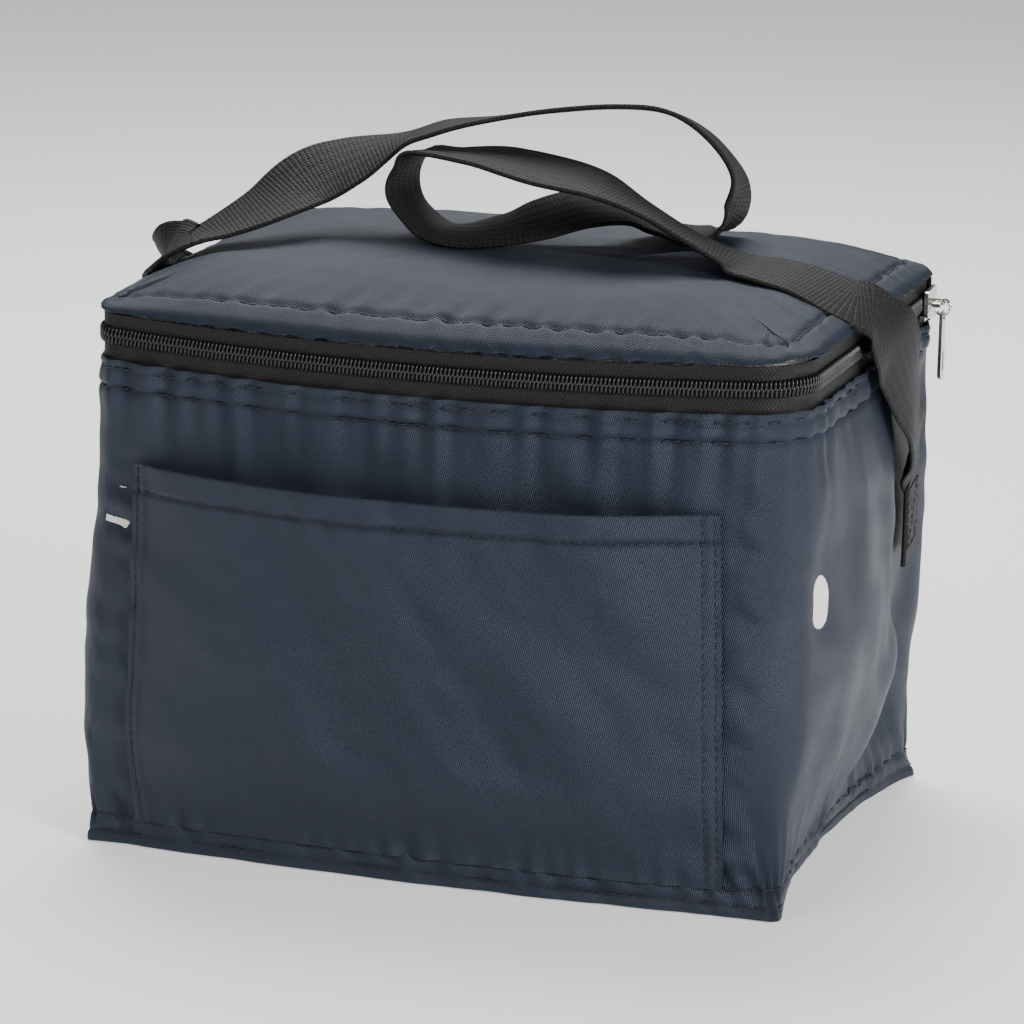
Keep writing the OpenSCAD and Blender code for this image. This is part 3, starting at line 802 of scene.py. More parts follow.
# ---------------------------------------------------------------- strap
ROUTE: tuple[tuple[tuple[float, float, float], tuple[float, float, float]], ...] = (
    ((-111.26, 40, 77), (0, 1, 0)),
    ((-111.26, 40, 96), (0, 1, 0)),
    ((-111.2, 40, 104), (0, 1, 0)),
    ((-109.5, 36, 117), (-0.1, 0.97, 0.1)),
    ((-107.2, 25, 131), (-0.12, 0.97, -0.05)),
    ((-105.2, 8, 146), (-0.12, 0.98, -0.15)),
    ((-104.8, -10, 157), (-0.3, 0.93, -0.2)),
    ((-101.2, -19, 162.4), (-0.35, 0.92, -0.15)),
    ((-96.5, -24, 165.8), (-0.42, 0.9, -0.12)),
    ((-91.5, -24, 168.6), (-0.5, 0.86, -0.1)),
    ((-86, -20, 171), (-0.56, 0.82, 0)),
    ((-73.8, -12, 177.6), (-0.62, 0.76, 0.2)),
    ((-63, -3, 185), (-0.52, 0.69, 0.5)),
    ((-52, 3, 190), (-0.49, 0.79, 0.37)),
    ((-38, 9, 196), (-0.41, 0.91, -0.05)),
    ((-27, 11, 200), (-0.36, 0.93, -0.05)),
    ((-12, 13, 203), (-0.34, 0.93, -0.14)),
    ((4, 15, 206), (-0.32, 0.93, -0.16)),
    ((23, 18, 208), (-0.32, 0.93, -0.16)),
    ((38, 21, 207), (-0.28, 0.95, -0.16)),
    ((50, 24, 200), (-0.2, 0.97, -0.15)),
    ((58, 26, 189), (-0.1, 0.97, -0.23)),
    ((58, 25, 179), (-0.02, 0.95, -0.2)),
    ((53, 22, 173), (-0.1, 0.98, 0)),
    ((45, 20, 172), (-0.2, 0.97, 0)),
    ((35, 16, 175), (-0.3, 0.95, 0)),
    ((28, 12, 179), (-0.35, 0.93, 0.1)),
    ((18, 6, 180), (-0.38, 0.88, 0.25)),
    ((7, 0, 177), (-0.28, 0.9, 0.3)),
    ((-3, -3, 174), (-0.18, 0.95, 0.2)),
    ((-15, -3, 172), (-0.18, 0.97, 0.1)),
    ((-26, 0, 173), (-0.1, 0.99, 0)),
    ((-35, 4, 179), (0, 1, -0.05)),
    ((-37, 6, 186), (0, 1, -0.08)),
    ((-33, 6, 192.5), (-0.15, 0.97, -0.15)),
    ((-23, 3, 194.5), (-0.28, 0.94, -0.1)),
    ((-7, -3, 195), (-0.2, 0.97, 0.05)),
    ((11, -9, 193), (-0.1, 0.97, 0.15)),
    ((28, -12, 190), (-0.13, 0.98, 0.1)),
    ((42, -12, 184), (-0.18, 0.98, -0.05)),
    ((56, -11, 176.5), (-0.2, 0.97, -0.06)),
    ((68, -9, 170.8), (-0.19, 0.98, 0.02)),
    ((79, -12, 169.4), (-0.1, 0.99, 0.08)),
    ((90, -14, 167.6), (-0.05, 0.99, 0.14)),
    ((103, -15.5, 163), (0.03, 0.97, 0.22)),
    ((109.3, -12, 159.4), (0.07, 0.98, 0.17)),
    ((112.6, -8, 153.1), (0.15, 0.97, 0.18)),
    ((113.9, 0, 145.7), (0.2, 0.97, 0.15)),
    ((114.4, 9, 135.4), (0.04, 1, 0.01)),
    ((114.2, 18, 126.7), (-0.13, 0.99, -0.11)),
    ((112.6, 27, 117.3), (-0.2, 0.97, -0.15)),
    ((109.8, 36, 109), (-0.14, 0.98, -0.12)),
    ((108.9, 40, 103), (-0.12, 0.99, 0)),
    ((108.9, 40, 92), (-0.12, 0.99, 0)),
    ((108.7, 40, 77), (-0.12, 0.99, 0)),
)


@dataclass
class CarryStrap:
    """The webbing strap that loops over the lid, sewn flat to both sides."""

    width: float = 25.0
    thickness: float = 1.3
    patch_height: float = 27.0
    patch_low: float = 77.0
    patch_y: float = 40.0
    step: float = 1.6
    edge: float = 0.5

    def line(self) -> tuple[Array, Array]:
        """The strap's middle line and the direction of its width, evenly spaced."""
        at = np.array([p for p, _ in ROUTE], float)
        wide = np.array([w for _, w in ROUTE], float)
        both = np.concatenate([at, wide], 1)
        padded = np.concatenate([both[:1], both, both[-1:]])
        t = np.linspace(0, 1, 24, endpoint=False)[:, None]
        runs = []
        for k in range(len(both) - 1):
            a, b, c, d = padded[k:k + 4]
            runs.append(0.5 * (2 * b + (c - a) * t + (2 * a - 5 * b + 4 * c - d) * t ** 2
                               + (3 * b - a - 3 * c + d) * t ** 3))
        full = even(np.concatenate(runs + [both[-1:]]), self.step)
        along = unit(np.gradient(full[:, :3], axis=0))
        out = full[:, 3:] - (full[:, 3:] * along).sum(-1, keepdims=True) * along
        return full[:, :3], unit(out)

    def section(self) -> Array:
        """Half-rounded outline of the webbing, across and through, in mm."""
        w, h, r = self.width / 2, self.thickness / 2, self.edge
        across = np.linspace(-w + r, w - r, 25)
        top = [(a, h + 0.10 * math.cos(a * math.pi * 2 / 4.2)) for a in across]
        side = [(w - r + r * math.cos(a), h * math.sin(a)) for a in np.radians([50, 0, -50])]
        under = [(a, -h - 0.10 * math.cos(a * math.pi * 2 / 4.2)) for a in across[::-1]]
        other = [(-w + r - r * math.cos(a), -h * math.sin(a)) for a in np.radians([50, 0, -50])]
        return np.array(top + side + under + other)

    def build(self, finishes: Finishes) -> None:
        """Makes the strap and the thread on its ends."""
        middle, wide = self.line()
        along = unit(np.gradient(middle, axis=0))
        thick = np.cross(along, wide)
        shape = self.section()
        length = arc(middle)
        fray = Ripple(5, 5, 30).at(length, 0.0) * 0.12
        rows = (middle[:, None] + wide[:, None] * shape[None, :, :1]
                * (1 + fray[:, None, None] / self.width)
                + thick[:, None] * shape[None, :, 1:])
        columns = np.concatenate([rows, rows[:, :1]], 1)
        around = arc(np.column_stack([np.vstack([shape, shape[:1]]), np.zeros(len(shape) + 1)]))
        cut = np.stack(np.broadcast_arrays(length[:, None], around[None, :]), -1)
        piece = cloth_grid("carry_strap_webbing", columns, cut, closed=True)
        self.close_ends(piece)
        stitches = self.stitching()
        finish_piece(stitches, Body.BAG, Slot.BLACK_THREAD, finishes.black_thread,
                     "strap_end_stitching")
        piece.data.materials.append(finishes.webbing)
        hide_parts("carry_strap")
        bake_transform(piece)
        log.info("carry strap: %.0f mm of webbing", length[-1])

    def close_ends(self, piece: bpy.types.Object) -> None:
        """Fills both cut ends of the webbing and turns its faces outwards."""
        select_only(piece)
        bpy.ops.object.mode_set(mode="EDIT")
        bpy.ops.mesh.select_all(action="DESELECT")
        bpy.ops.mesh.select_mode(type="EDGE")
        bpy.ops.mesh.select_non_manifold(extend=False)
        bpy.ops.mesh.edge_face_add()
        bpy.ops.mesh.select_all(action="SELECT")
        bpy.ops.mesh.normals_make_consistent(inside=False)
        bpy.ops.object.mode_set(mode="OBJECT")
        bpy.ops.object.shade_smooth_by_angle(angle=math.radians(50))

    def stitching(self) -> bpy.types.Object:
        """Stitches of the box and cross on each end."""
        w, h = self.width / 2 - 3, self.patch_height / 2 - 4.5
        corners = [(-w, -h), (w, -h), (w, h), (-w, h), (-w, -h), (w, h), (-w, h), (w, -h)]
        rows = []
        for side, x, lean in ((-1, ROUTE[0][0][0], 0.0), (1, ROUTE[-1][0][0] + 0.1, -0.12)):
            for a, b in zip(corners[:-1], corners[1:]):
                ends = np.array([[x + side * (self.thickness / 2 + 0.16) + lean * c[0],
                                  self.patch_y + c[0],
                                  self.patch_low + self.patch_height / 2 + c[1]] for c in (a, b)])
                line = even(ends, 2.6)
                rows.append(surface_frames(line, np.tile([side, 0.0, 0.0], (len(line), 1))))
        return copies("strap_end_thread", stitch_template(2.2, 0.62), np.concatenate(rows))


def stitch_template(length: float, width: float) -> bpy.types.Object:
    """One stitch: a low rounded grain of thread, pinched at both ends, in mm.

    Args:
        length: Its length along the first axis.
        width: Its width.

    Returns:
        The template.
    """
    bpy.ops.object.select_all(action="DESELECT")
    bpy.ops.mesh.primitive_cylinder_add(vertices=6, radius=width / 2, depth=length)
    piece = bpy.context.active_object
    bpy.ops.object.mode_set(mode="EDIT")
    bpy.ops.mesh.select_all(action="SELECT")
    bpy.ops.mesh.bisect(plane_co=(0, 0, length * 0.3), plane_no=(0, 0, 1))
    bpy.ops.mesh.select_all(action="SELECT")
    bpy.ops.mesh.bisect(plane_co=(0, 0, -length * 0.3), plane_no=(0, 0, 1))
    bpy.ops.object.mode_set(mode="OBJECT")
    co = np.array([v.co for v in piece.data.vertices])
    pinch = np.where(np.abs(co[:, 2]) > length * 0.4, 0.45, 1.0)
    turned = np.column_stack([co[:, 2], co[:, 0] * pinch, co[:, 1] * pinch * 0.75
                              - np.where(pinch < 1, width * 0.22, 0)])
    piece.data.vertices.foreach_set("co", turned.astype(np.float32).ravel())
    piece.data.flip_normals()
    return piece


# ---------------------------------------------------------------- cloth surfaces
@dataclass
class WallCloth:
    """Where the walls' outer cloth lies, with its puckers and wrinkles."""

    shape: BagShape = field(default_factory=lambda: SHAPE)
    rim_rows: tuple[float, float] = (140.6, 135.0)
    hem_row: float = 8.2
    gather: Ripple = Ripple(11, 6, 13, 0, 8, 26)
    rim_gather: Ripple = Ripple(12, 7, 16, 0, 10, 26)
    wrinkles: Ripple = Ripple(21, 22, 60, 20, 80, 26)
    creases: Ripple = Ripple(22, 9, 24, 60, 50, 30)
    broad: Ripple = Ripple(23, 60, 150, 0, 120, 14)

    def points(self, place: Array, z: Array, proud: float = 0.0) -> tuple[Array, Array]:
        """The cloth over a grid of places and heights.

        Args:
            place: Places on the outline, one for each column.
            z: Heights in mm, one for each row.
            proud: How far off the cloth to lie, in mm.

        Returns:
            The points, rows by columns, and each one's place on the flat cloth.
        """
        grid_place, grid_z = np.meshgrid(place, z)
        base = self.shape.wall(grid_place, grid_z)
        rim = self.shape.wall(place, np.full(len(place), 80.0))
        s = arc(rim)[None, :] + place[0] * 13.0
        s = np.broadcast_to(s, grid_z.shape)
        out = normals(base)
        base = base + out * (self.relief(grid_place, s, grid_z) + proud)[..., None]
        return base, np.stack([s, grid_z], -1)

    def relief(self, place: Array, s: Array, z: Array) -> Array:
        """How far the cloth stands off the wall's plain shape, in mm."""
        place = np.mod(place, 60)
        front = (place > 11) & (place < 27)
        middle = ease((z - 14) / 30) * (1 - ease((z - 118) / 20))
        d = 0.8 * self.broad.at(s, z) * middle
        d = d + 0.75 * self.wrinkles.at(s, z) * (0.35 + 0.65 * middle)
        d = d + 0.24 * self.creases.at(s, z)
        hem = np.where(z > self.hem_row, np.exp(-(z - self.hem_row) / 9),
                       np.exp(-(self.hem_row - z) / 3.5))
        d = d + hem * (1.0 * self.gather.at(s + 0.35 * (z - self.hem_row), z * 0) + 0.1)
        band = 1 - ease((z - self.hem_row + 0.4) / 1.6)
        d = d + 0.55 * band - 0.65 * np.exp(-((z - self.hem_row) / 0.8) ** 2)
        d = d - 0.5 * np.exp(-((z - 3.2) / 0.7) ** 2) * (z > 0)
        low = self.rim_rows[1]
        below = np.where(z < low, np.exp((z - low) / 11), 1.0)
        d = d + below * ease((z - 70) / 30) * (0.8 * self.rim_gather.at(s, z * 0.25)
                                               + 0.3 * self.gather.at(s, z * 0))
        for row in self.rim_rows:
            d = d - 0.55 * np.exp(-((z - row) / 0.8) ** 2)
        d = d + 0.4 * ease((z - low) / 1.5) * (1 - ease((z - 141.8) / 1.4))
        side = np.abs(np.abs(self.shape.wall(place, z)[..., 0]) - 91.5)
        pulls = np.exp(-side / 9) * front * (1 - ease((z - 112) / 10)) * ease((z - 6) / 6)
        d = d + pulls * 1.15 * Ripple(31, 9, 20, 74, 14, 16).at(s, z)
        return d


CLOTH = WallCloth()


@dataclass
class Shell:
    """The outer cloth of the walls, the back panel and the base."""

    def build(self, finishes: Finishes) -> None:
        """Makes the wrap, the back panel, the base panel and their seams."""
        heights = np.unique(np.concatenate([np.linspace(0, 14, 15), np.linspace(14, 128, 58),
                                            np.linspace(128, 143, 18)]))
        stretch = places(BACK_END - LAP, BACK_START, 8, 9, 4)
        points, cut = CLOTH.points(stretch, heights)
        wrap = cloth_grid("front_side_wrap_cloth", points, cut, 0.9)
        finish_piece(wrap, Body.BAG, Slot.NYLON, finishes.nylon, "front_side_wrap")
        heights = np.append(heights, np.linspace(144, SHAPE.rim - 0.4, 8))
        points, cut = CLOTH.points(places(BACK_START, BACK_END, 8, 7, 4), heights)
        back = cloth_grid("back_panel_cloth", points, cut, 0.9)
        finish_piece(back, Body.BAG, Slot.NYLON, finishes.nylon, "back_panel")
        self.seams(finishes)
        self.base(finishes)

    def seams(self, finishes: Finishes) -> None:
        """Upright piped seams where the back panel is sewn in."""
        rows = []
        for place, side in ((BACK_START + 0.05, 1), (BACK_END - 0.05, -1)):
            z = np.linspace(9.0, 134.0, 90)
            line = CLOTH.shape.wall(np.full(90, place), z)
            out = np.tile([side * 0.35, 0.94, 0.0], (90, 1))
            theta = np.linspace(0, 2 * math.pi, 9)
            ring = line[:, None] + 0.75 * (np.cos(theta)[None, :, None] * out[:, None]
                                           + np.sin(theta)[None, :, None] * np.array([1.0, 0, 0]))
            rows.append((ring + out[:, None] * 0.35, theta, z))
        made = []
        for k, (ring, theta, z) in enumerate(rows):
            cut = np.stack(np.broadcast_arrays(z[:, None], theta[None, :]), -1)
            made.append(cloth_grid(f"back_corner_seam_{'rl'[k]}", ring, cut, closed=True))
            fill_and_face_out(made[-1])
        finish_piece(made[0], Body.BAG, Slot.NYLON, finishes.nylon, "back_corner_seams")
        finish_piece(made[1], Body.BAG, Slot.NYLON, finishes.nylon)

    def base(self, finishes: Finishes) -> None:
        """The base panel, slightly sunk between its sewn edges, and the folded seam inside it."""
        place = places(0, LAP, 4, 5, 3)
        share = np.concatenate([[0.0, 0.012, 0.03], np.linspace(0.06, 0.98, 14), [1.0]])
        edge = SHAPE.wall(place, np.zeros(len(place)), 1.3)
        points = edge[None] * (1 - share)[:, None, None]
        sunk = np.clip(share * 14, 0, 1)[:, None]
        waves = Ripple(41, 25, 70).at(points[..., 0], points[..., 1])
        points[..., 2] = 0.15 + np.clip(sunk * (0.6 + 0.25 * waves), 0, 1.2)
        points[-1] = points[-1].mean(0)
        piece = cloth_grid("bottom_panel_cloth", points, points[..., :2].copy(), 0.8, offset=1.0,
                           closed=True, pole=True)
        flip_down(piece)
        finish_piece(piece, Body.BAG, Slot.NYLON, finishes.nylon, "bottom_panel")
        points, cut = layer(places(0, LAP, 4, 5, 3), np.linspace(1.3, SHAPE.hem_height, 6), 1.6)
        seam = cloth_grid("base_seam_fold", points, cut, 1.1, closed=True)
        finish_piece(seam, Body.BAG, Slot.BINDING, finishes.binding, "base_seam_allowance")


def flip_down(piece: bpy.types.Object) -> None:
    """Recalculates a closed piece's faces so that they point outwards."""
    select_only(piece)
    bpy.ops.object.mode_set(mode="EDIT")
    bpy.ops.mesh.select_all(action="SELECT")
    bpy.ops.mesh.normals_make_consistent(inside=False)
    bpy.ops.object.mode_set(mode="OBJECT")


def fill_and_face_out(piece: bpy.types.Object) -> None:
    """Closes the open ends of a tube and points its faces outwards."""
    select_only(piece)
    bpy.ops.object.mode_set(mode="EDIT")
    bpy.ops.mesh.select_all(action="DESELECT")
    bpy.ops.mesh.select_mode(type="EDGE")
    bpy.ops.mesh.select_non_manifold(extend=False)
    bpy.ops.mesh.edge_face_add()
    bpy.ops.mesh.select_all(action="SELECT")
    bpy.ops.mesh.normals_make_consistent(inside=False)
    bpy.ops.object.mode_set(mode="OBJECT")


def layer(place: Array, heights: Array, inset: float) -> tuple[Array, Array]:
    """A plain inner layer of the walls.

    Args:
        place: Places on the outline.
        heights: Heights in mm.
        inset: How far in its outer face lies, in mm.

    Returns:
        Its points and their flat places.
    """
    grid_place, grid_z = np.meshgrid(place, heights)
    points = SHAPE.wall(grid_place, grid_z, inset)
    s = np.broadcast_to(arc(points[0])[None, :], grid_z.shape)
    return points, np.stack([s, grid_z], -1)


# ---------------------------------------------------------------- zip
@dataclass
class ZipChain:
    """Tape and coil round three sides, closed."""

    inset: float = 1.2
    tape: float = 0.7
    pitch: float = 1.2
    reach: float = 2.45
    start: float = 0.0
    end: float = ZIP_END

    def tapes(self, finishes: Finishes) -> None:
        """Both tapes, which meet under the coil."""
        place = places(0, ZIP_END, 5, 5, 5)
        low = np.array([136.5, 139, 143.2, 145.5, SHAPE.coil_middle - 0.15])
        high = np.array([SHAPE.coil_middle + 0.15, 152.5, 154.5, SHAPE.rim - 0.2])
        for name, heights, node, body in (("lower", low, "zip_tape_lower", Body.BAG),
                                          ("upper", high, "zip_tape_upper", Body.LID)):
            points, cut = layer(place, heights, self.inset)
            piece = cloth_grid(f"zip_tape_{name}_cloth", points, cut, self.tape)
            finish_piece(piece, body, Slot.ZIP_TAPE, finishes.tape, node)

    def tooth(self, side: int) -> bpy.types.Object:
        """One turn of the coil, a bent rounded bar with a swollen nose, in mm.

        Args:
            side: 1 for the upper half and -1 for the lower.

        Returns:
            The template: first axis along the zip, second up, third out.
        """
        bpy.ops.object.select_all(action="DESELECT")
        bpy.ops.mesh.primitive_cylinder_add(vertices=8, radius=0.34, depth=self.reach + 0.5)
        piece = bpy.context.active_object
        bpy.ops.object.mode_set(mode="EDIT")
        for cut in (-0.36, -0.12, 0.16, 0.38):
            bpy.ops.mesh.select_all(action="SELECT")
            bpy.ops.mesh.bisect(plane_co=(0, 0, cut * self.reach), plane_no=(0, 0, 1))
        bpy.ops.object.mode_set(mode="OBJECT")
        co = np.array([v.co for v in piece.data.vertices])
        t = co[:, 2] / (self.reach + 0.5) + 0.5
        swell = 1 + 0.55 * np.exp(-((t - 0.12) / 0.12) ** 2) - 0.25 * (t > 0.98) - 0.35 * (t < 0.02)
        bow = 0.45 * (1 - (2 * t - 0.85) ** 2)
        turned = np.column_stack([co[:, 0] * swell + 0.35 * t * side,
                                  side * (t * (self.reach + 0.5) - 0.5),
                                  co[:, 1] * (0.9 + 0.2 * swell) + bow])
        piece.data.vertices.foreach_set("co", turned.astype(np.float32).ravel())
        if side > 0:
            piece.data.flip_normals()
        return piece

    def coils(self, finishes: Finishes) -> None:
        """Both halves of the coil, each turn a copy of one."""
        for side, name, node, body in ((-1, "lower", "zip_coil_lower", Body.BAG),
                                       (1, "upper", "zip_coil_upper", Body.LID)):
            place = np.linspace(self.start + 0.1, self.end - 0.1, 1500)
            line = even(SHAPE.wall(place, np.full(1500, SHAPE.coil_middle), self.inset - 0.55),
                        self.pitch)
            if side > 0:
                line = (line[1:] + line[:-1]) / 2
            out = unit(np.cross(unit(np.gradient(line, axis=0)), np.array([0, 0, 1.0])))
            frames = surface_frames(line, out)
            piece = copies(f"zip_coil_{name}_turns", self.tooth(side), frames)
            finish_piece(piece, body, Slot.ZIP_COIL, finishes.coil, node)

    def ends(self, finishes: Finishes) -> None:
        """End stops, and the cloth tabs that cover the zip's ends at the back corners."""
        x = SHAPE.half_width(SHAPE.rim) - 0.2
        y = SHAPE.half_depth(SHAPE.rim) - SHAPE.top_corner + 1.0
        stops = []
        for side in (-1, 1):
            bpy.ops.object.select_all(action="DESELECT")
            bpy.ops.mesh.primitive_cube_add(size=1)
            piece = bpy.context.active_object
            piece.name = f"zip_stop_{'l' if side < 0 else 'r'}"
            co = np.array([v.co for v in piece.data.vertices]) * [1.2, 1.5, 2.0]
            co += [side * x, y, SHAPE.coil_middle - 1.2]
            piece.data.vertices.foreach_set("co", (co * MM).astype(np.float32).ravel())
            bevel = piece.modifiers.new("Rounding", "BEVEL")
            bevel.width, bevel.segments = 0.25 * MM, 2
            apply_modifiers(piece)
            stops.append(piece)
        finish_piece(stops[0], Body.BAG, Slot.ZIP_COIL, finishes.coil, "zip_stops")
        finish_piece(stops[1], Body.BAG, Slot.ZIP_COIL, finishes.coil)
        for name, a, b, nodes in (("r", ZIP_END + 0.3, BACK_START, ("zip_end_tabs",)),
                                  ("l", BACK_END, LAP - 0.3, ())):
            points, cut = layer(places(a, b, 5, 5, 5),
                                np.linspace(SHAPE.wall_height + 0.2, SHAPE.rim - 0.4, 9), 0.1)
            piece = cloth_grid(f"zip_end_tab_{name}", points, cut, 0.8)
            finish_piece(piece, Body.BAG, Slot.ZIP_TAPE, finishes.tape, *nodes)

    def build(self, finishes: Finishes) -> None:
        """Makes the whole zip but its slider."""
        self.tapes(finishes)
        self.coils(finishes)
        self.ends(finishes)


# ---------------------------------------------------------------- lid
@dataclass
class Lid:
    """The padded lid: cover, foam, lining, inner binding and hinge."""

    stitch_inset: float = 7.4
    gather: Ripple = Ripple(51, 5.5, 12, 0, 8, 28)
    soft: Ripple = Ripple(52, 35, 90, 0, 120, 16)
    lines: Ripple = Ripple(53, 14, 30, 90, 40, 24)

    def cover_points(self, place: Array, inset: Array, lift: Array) -> Array:
        """The top cloth over a grid.

        Args:
            place: Places on the outline, one for each column.
            inset: Insets from the edge in mm, one for each row.
            lift: Height over the crowned surface in mm, one for each row.

        Returns:
            Rows by columns of points in mm.
        """
        p, i = np.meshgrid(place, inset)
        s = np.broadcast_to(arc(SHAPE.lid(place, np.zeros(len(place)), 0.0))[None], p.shape)
        near = np.exp(-np.abs(i - self.stitch_inset) / 3.6) * ease(i / 1.0)
        edge = 0.45 * self.gather.at(s, i * 0) * np.exp(-i / 5)
        points = SHAPE.lid(p, np.minimum(i + edge * (i < 12), i + 1), 0.0)
        dip = 0.8 * np.exp(-((i - self.stitch_inset) / 0.9) ** 2)
        pucker = near * 0.62 * self.gather.at(s + 3.0, i * 0)
        band = 0.35 * ease(i / 2) * (1 - ease((i - 5.5) / 2))
        inner = ease((i - 9) / 20)
        soft = inner * (0.75 * self.soft.at(points[..., 0], points[..., 1])
                        + 0.22 * self.lines.at(points[..., 0], points[..., 1]))
        corner_pull = 0.5 * np.exp(-((i - 14) / 8) ** 2) * Ripple(54, 10, 24, 0, 12, 12).at(s,
                                                                                            i * 0)
        points[..., 2] += lift[:, None] - dip + pucker + band + soft + corner_pull
        return points

    def build(self, finishes: Finishes) -> None:
        """Makes every layer of the lid."""
        place = places(0, LAP, 9, 9, 6)
        inset = np.concatenate([[3.0, 1.2, 0.35, 0.0, 0.25, 0.9], np.linspace(1.8, 14, 17),
                                np.linspace(16, 60, 20), [66, 71.5]])
        lift = np.concatenate([[0.15, 0.1, 0.3, 0.75, 1.15, 1.45], np.full(39, 1.6)])
        points = self.cover_points(place, inset, lift)
        points[-1] = points[-1].mean(0)
        cut = points[..., :2].copy()
        cover = cloth_grid("lid_cover_cloth", points, cut, closed=True, pole=True)
        finish_piece(cover, Body.LID, Slot.NYLON, finishes.nylon, "lid_cover")
        self.inside(finishes)
        self.hinge(finishes)
        self.stitches(finishes, place)

    def dome(self, name: str, first: float, depth: float, thickness: float,
             wave: float) -> bpy.types.Object:
        """A domed layer under the top cloth.

        Args:
            name: The piece's name.
            first: How far in its edge lies, in mm.
            depth: How far below the crowned surface its top lies, in mm.
            thickness: Its thickness in mm.
            wave: Height of its soft waves in mm.

        Returns:
            The piece.
        """
        place = places(0, LAP, 4, 4, 3)
        inset = np.concatenate([np.linspace(first, 14, 5), np.linspace(18, 66, 9), [71.5]])
        p, i = np.meshgrid(place, inset)
        points = SHAPE.lid(p, i, -depth)
        points[..., 2] += wave * self.soft.at(points[..., 0] * 1.7,
                                              points[..., 1] * 1.7) * ease((i - first) / 12)
        points[-1] = points[-1].mean(0)
        return cloth_grid(name, points, points[..., :2].copy(), thickness, closed=True, pole=True)

    def inside(self, finishes: Finishes) -> None:
        """Foam, silver lining and the binding round the lid's inner edge."""
        foam = self.dome("lid_foam_pad", 5.5, -0.1, 2.9, 0.0)
        finish_piece(foam, Body.LID, Slot.FOAM, finishes.foam, "lid_foam")
        lining = self.dome("lid_lining_film", 2.6, 3.1, 0.7, 0.35)
        finish_piece(lining, Body.LID, Slot.LINER, finishes.liner, "lid_liner")
        points, cut = layer(places(0, LAP, 5, 5, 4), np.array([150.2, 150.9, 151.6, 152.1]), 2.2)
        points = points + normals(points) * np.array([0.0, 0.35, 0.35, 0.0])[:, None, None]
        binding = cloth_grid("lid_edge_binding", points, cut, 0.8, closed=True)
        finish_piece(binding, Body.LID, Slot.BINDING, finishes.binding, "lid_binding")

    def hinge(self, finishes: Finishes) -> None:
        """The cloth hinge inside the back seam."""
        points, cut = layer(places(BACK_START, BACK_END, 5, 5, 5),
                            np.linspace(150, SHAPE.rim - 0.4, 10), 1.3)
        piece = cloth_grid("lid_hinge_cloth", points, cut, 0.7)
        piece.data.materials.append(finishes.binding)
        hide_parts("lid_hinge_tape")
        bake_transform(piece)

    def stitches(self, finishes: Finishes, place: Array) -> None:
        """The row of stitches inside the lid's edge."""
        three = np.array([self.stitch_inset - 0.4, self.stitch_inset, self.stitch_inset + 0.4])
        rows = self.cover_points(place, three, np.full(3, 1.6))
        out = unit(np.cross(np.gradient(rows, axis=1)[1], rows[2] - rows[0]))
        both = even(np.concatenate([rows[1], out], 1), 3.1)
        frames = surface_frames(both[:, :3] + unit(both[:, 3:]) * 0.15, both[:, 3:])
        piece = copies("lid_thread", stitch_template(2.5, 0.6), frames)
        finish_piece(piece, Body.LID, Slot.THREAD, finishes.thread, "lid_stitching")


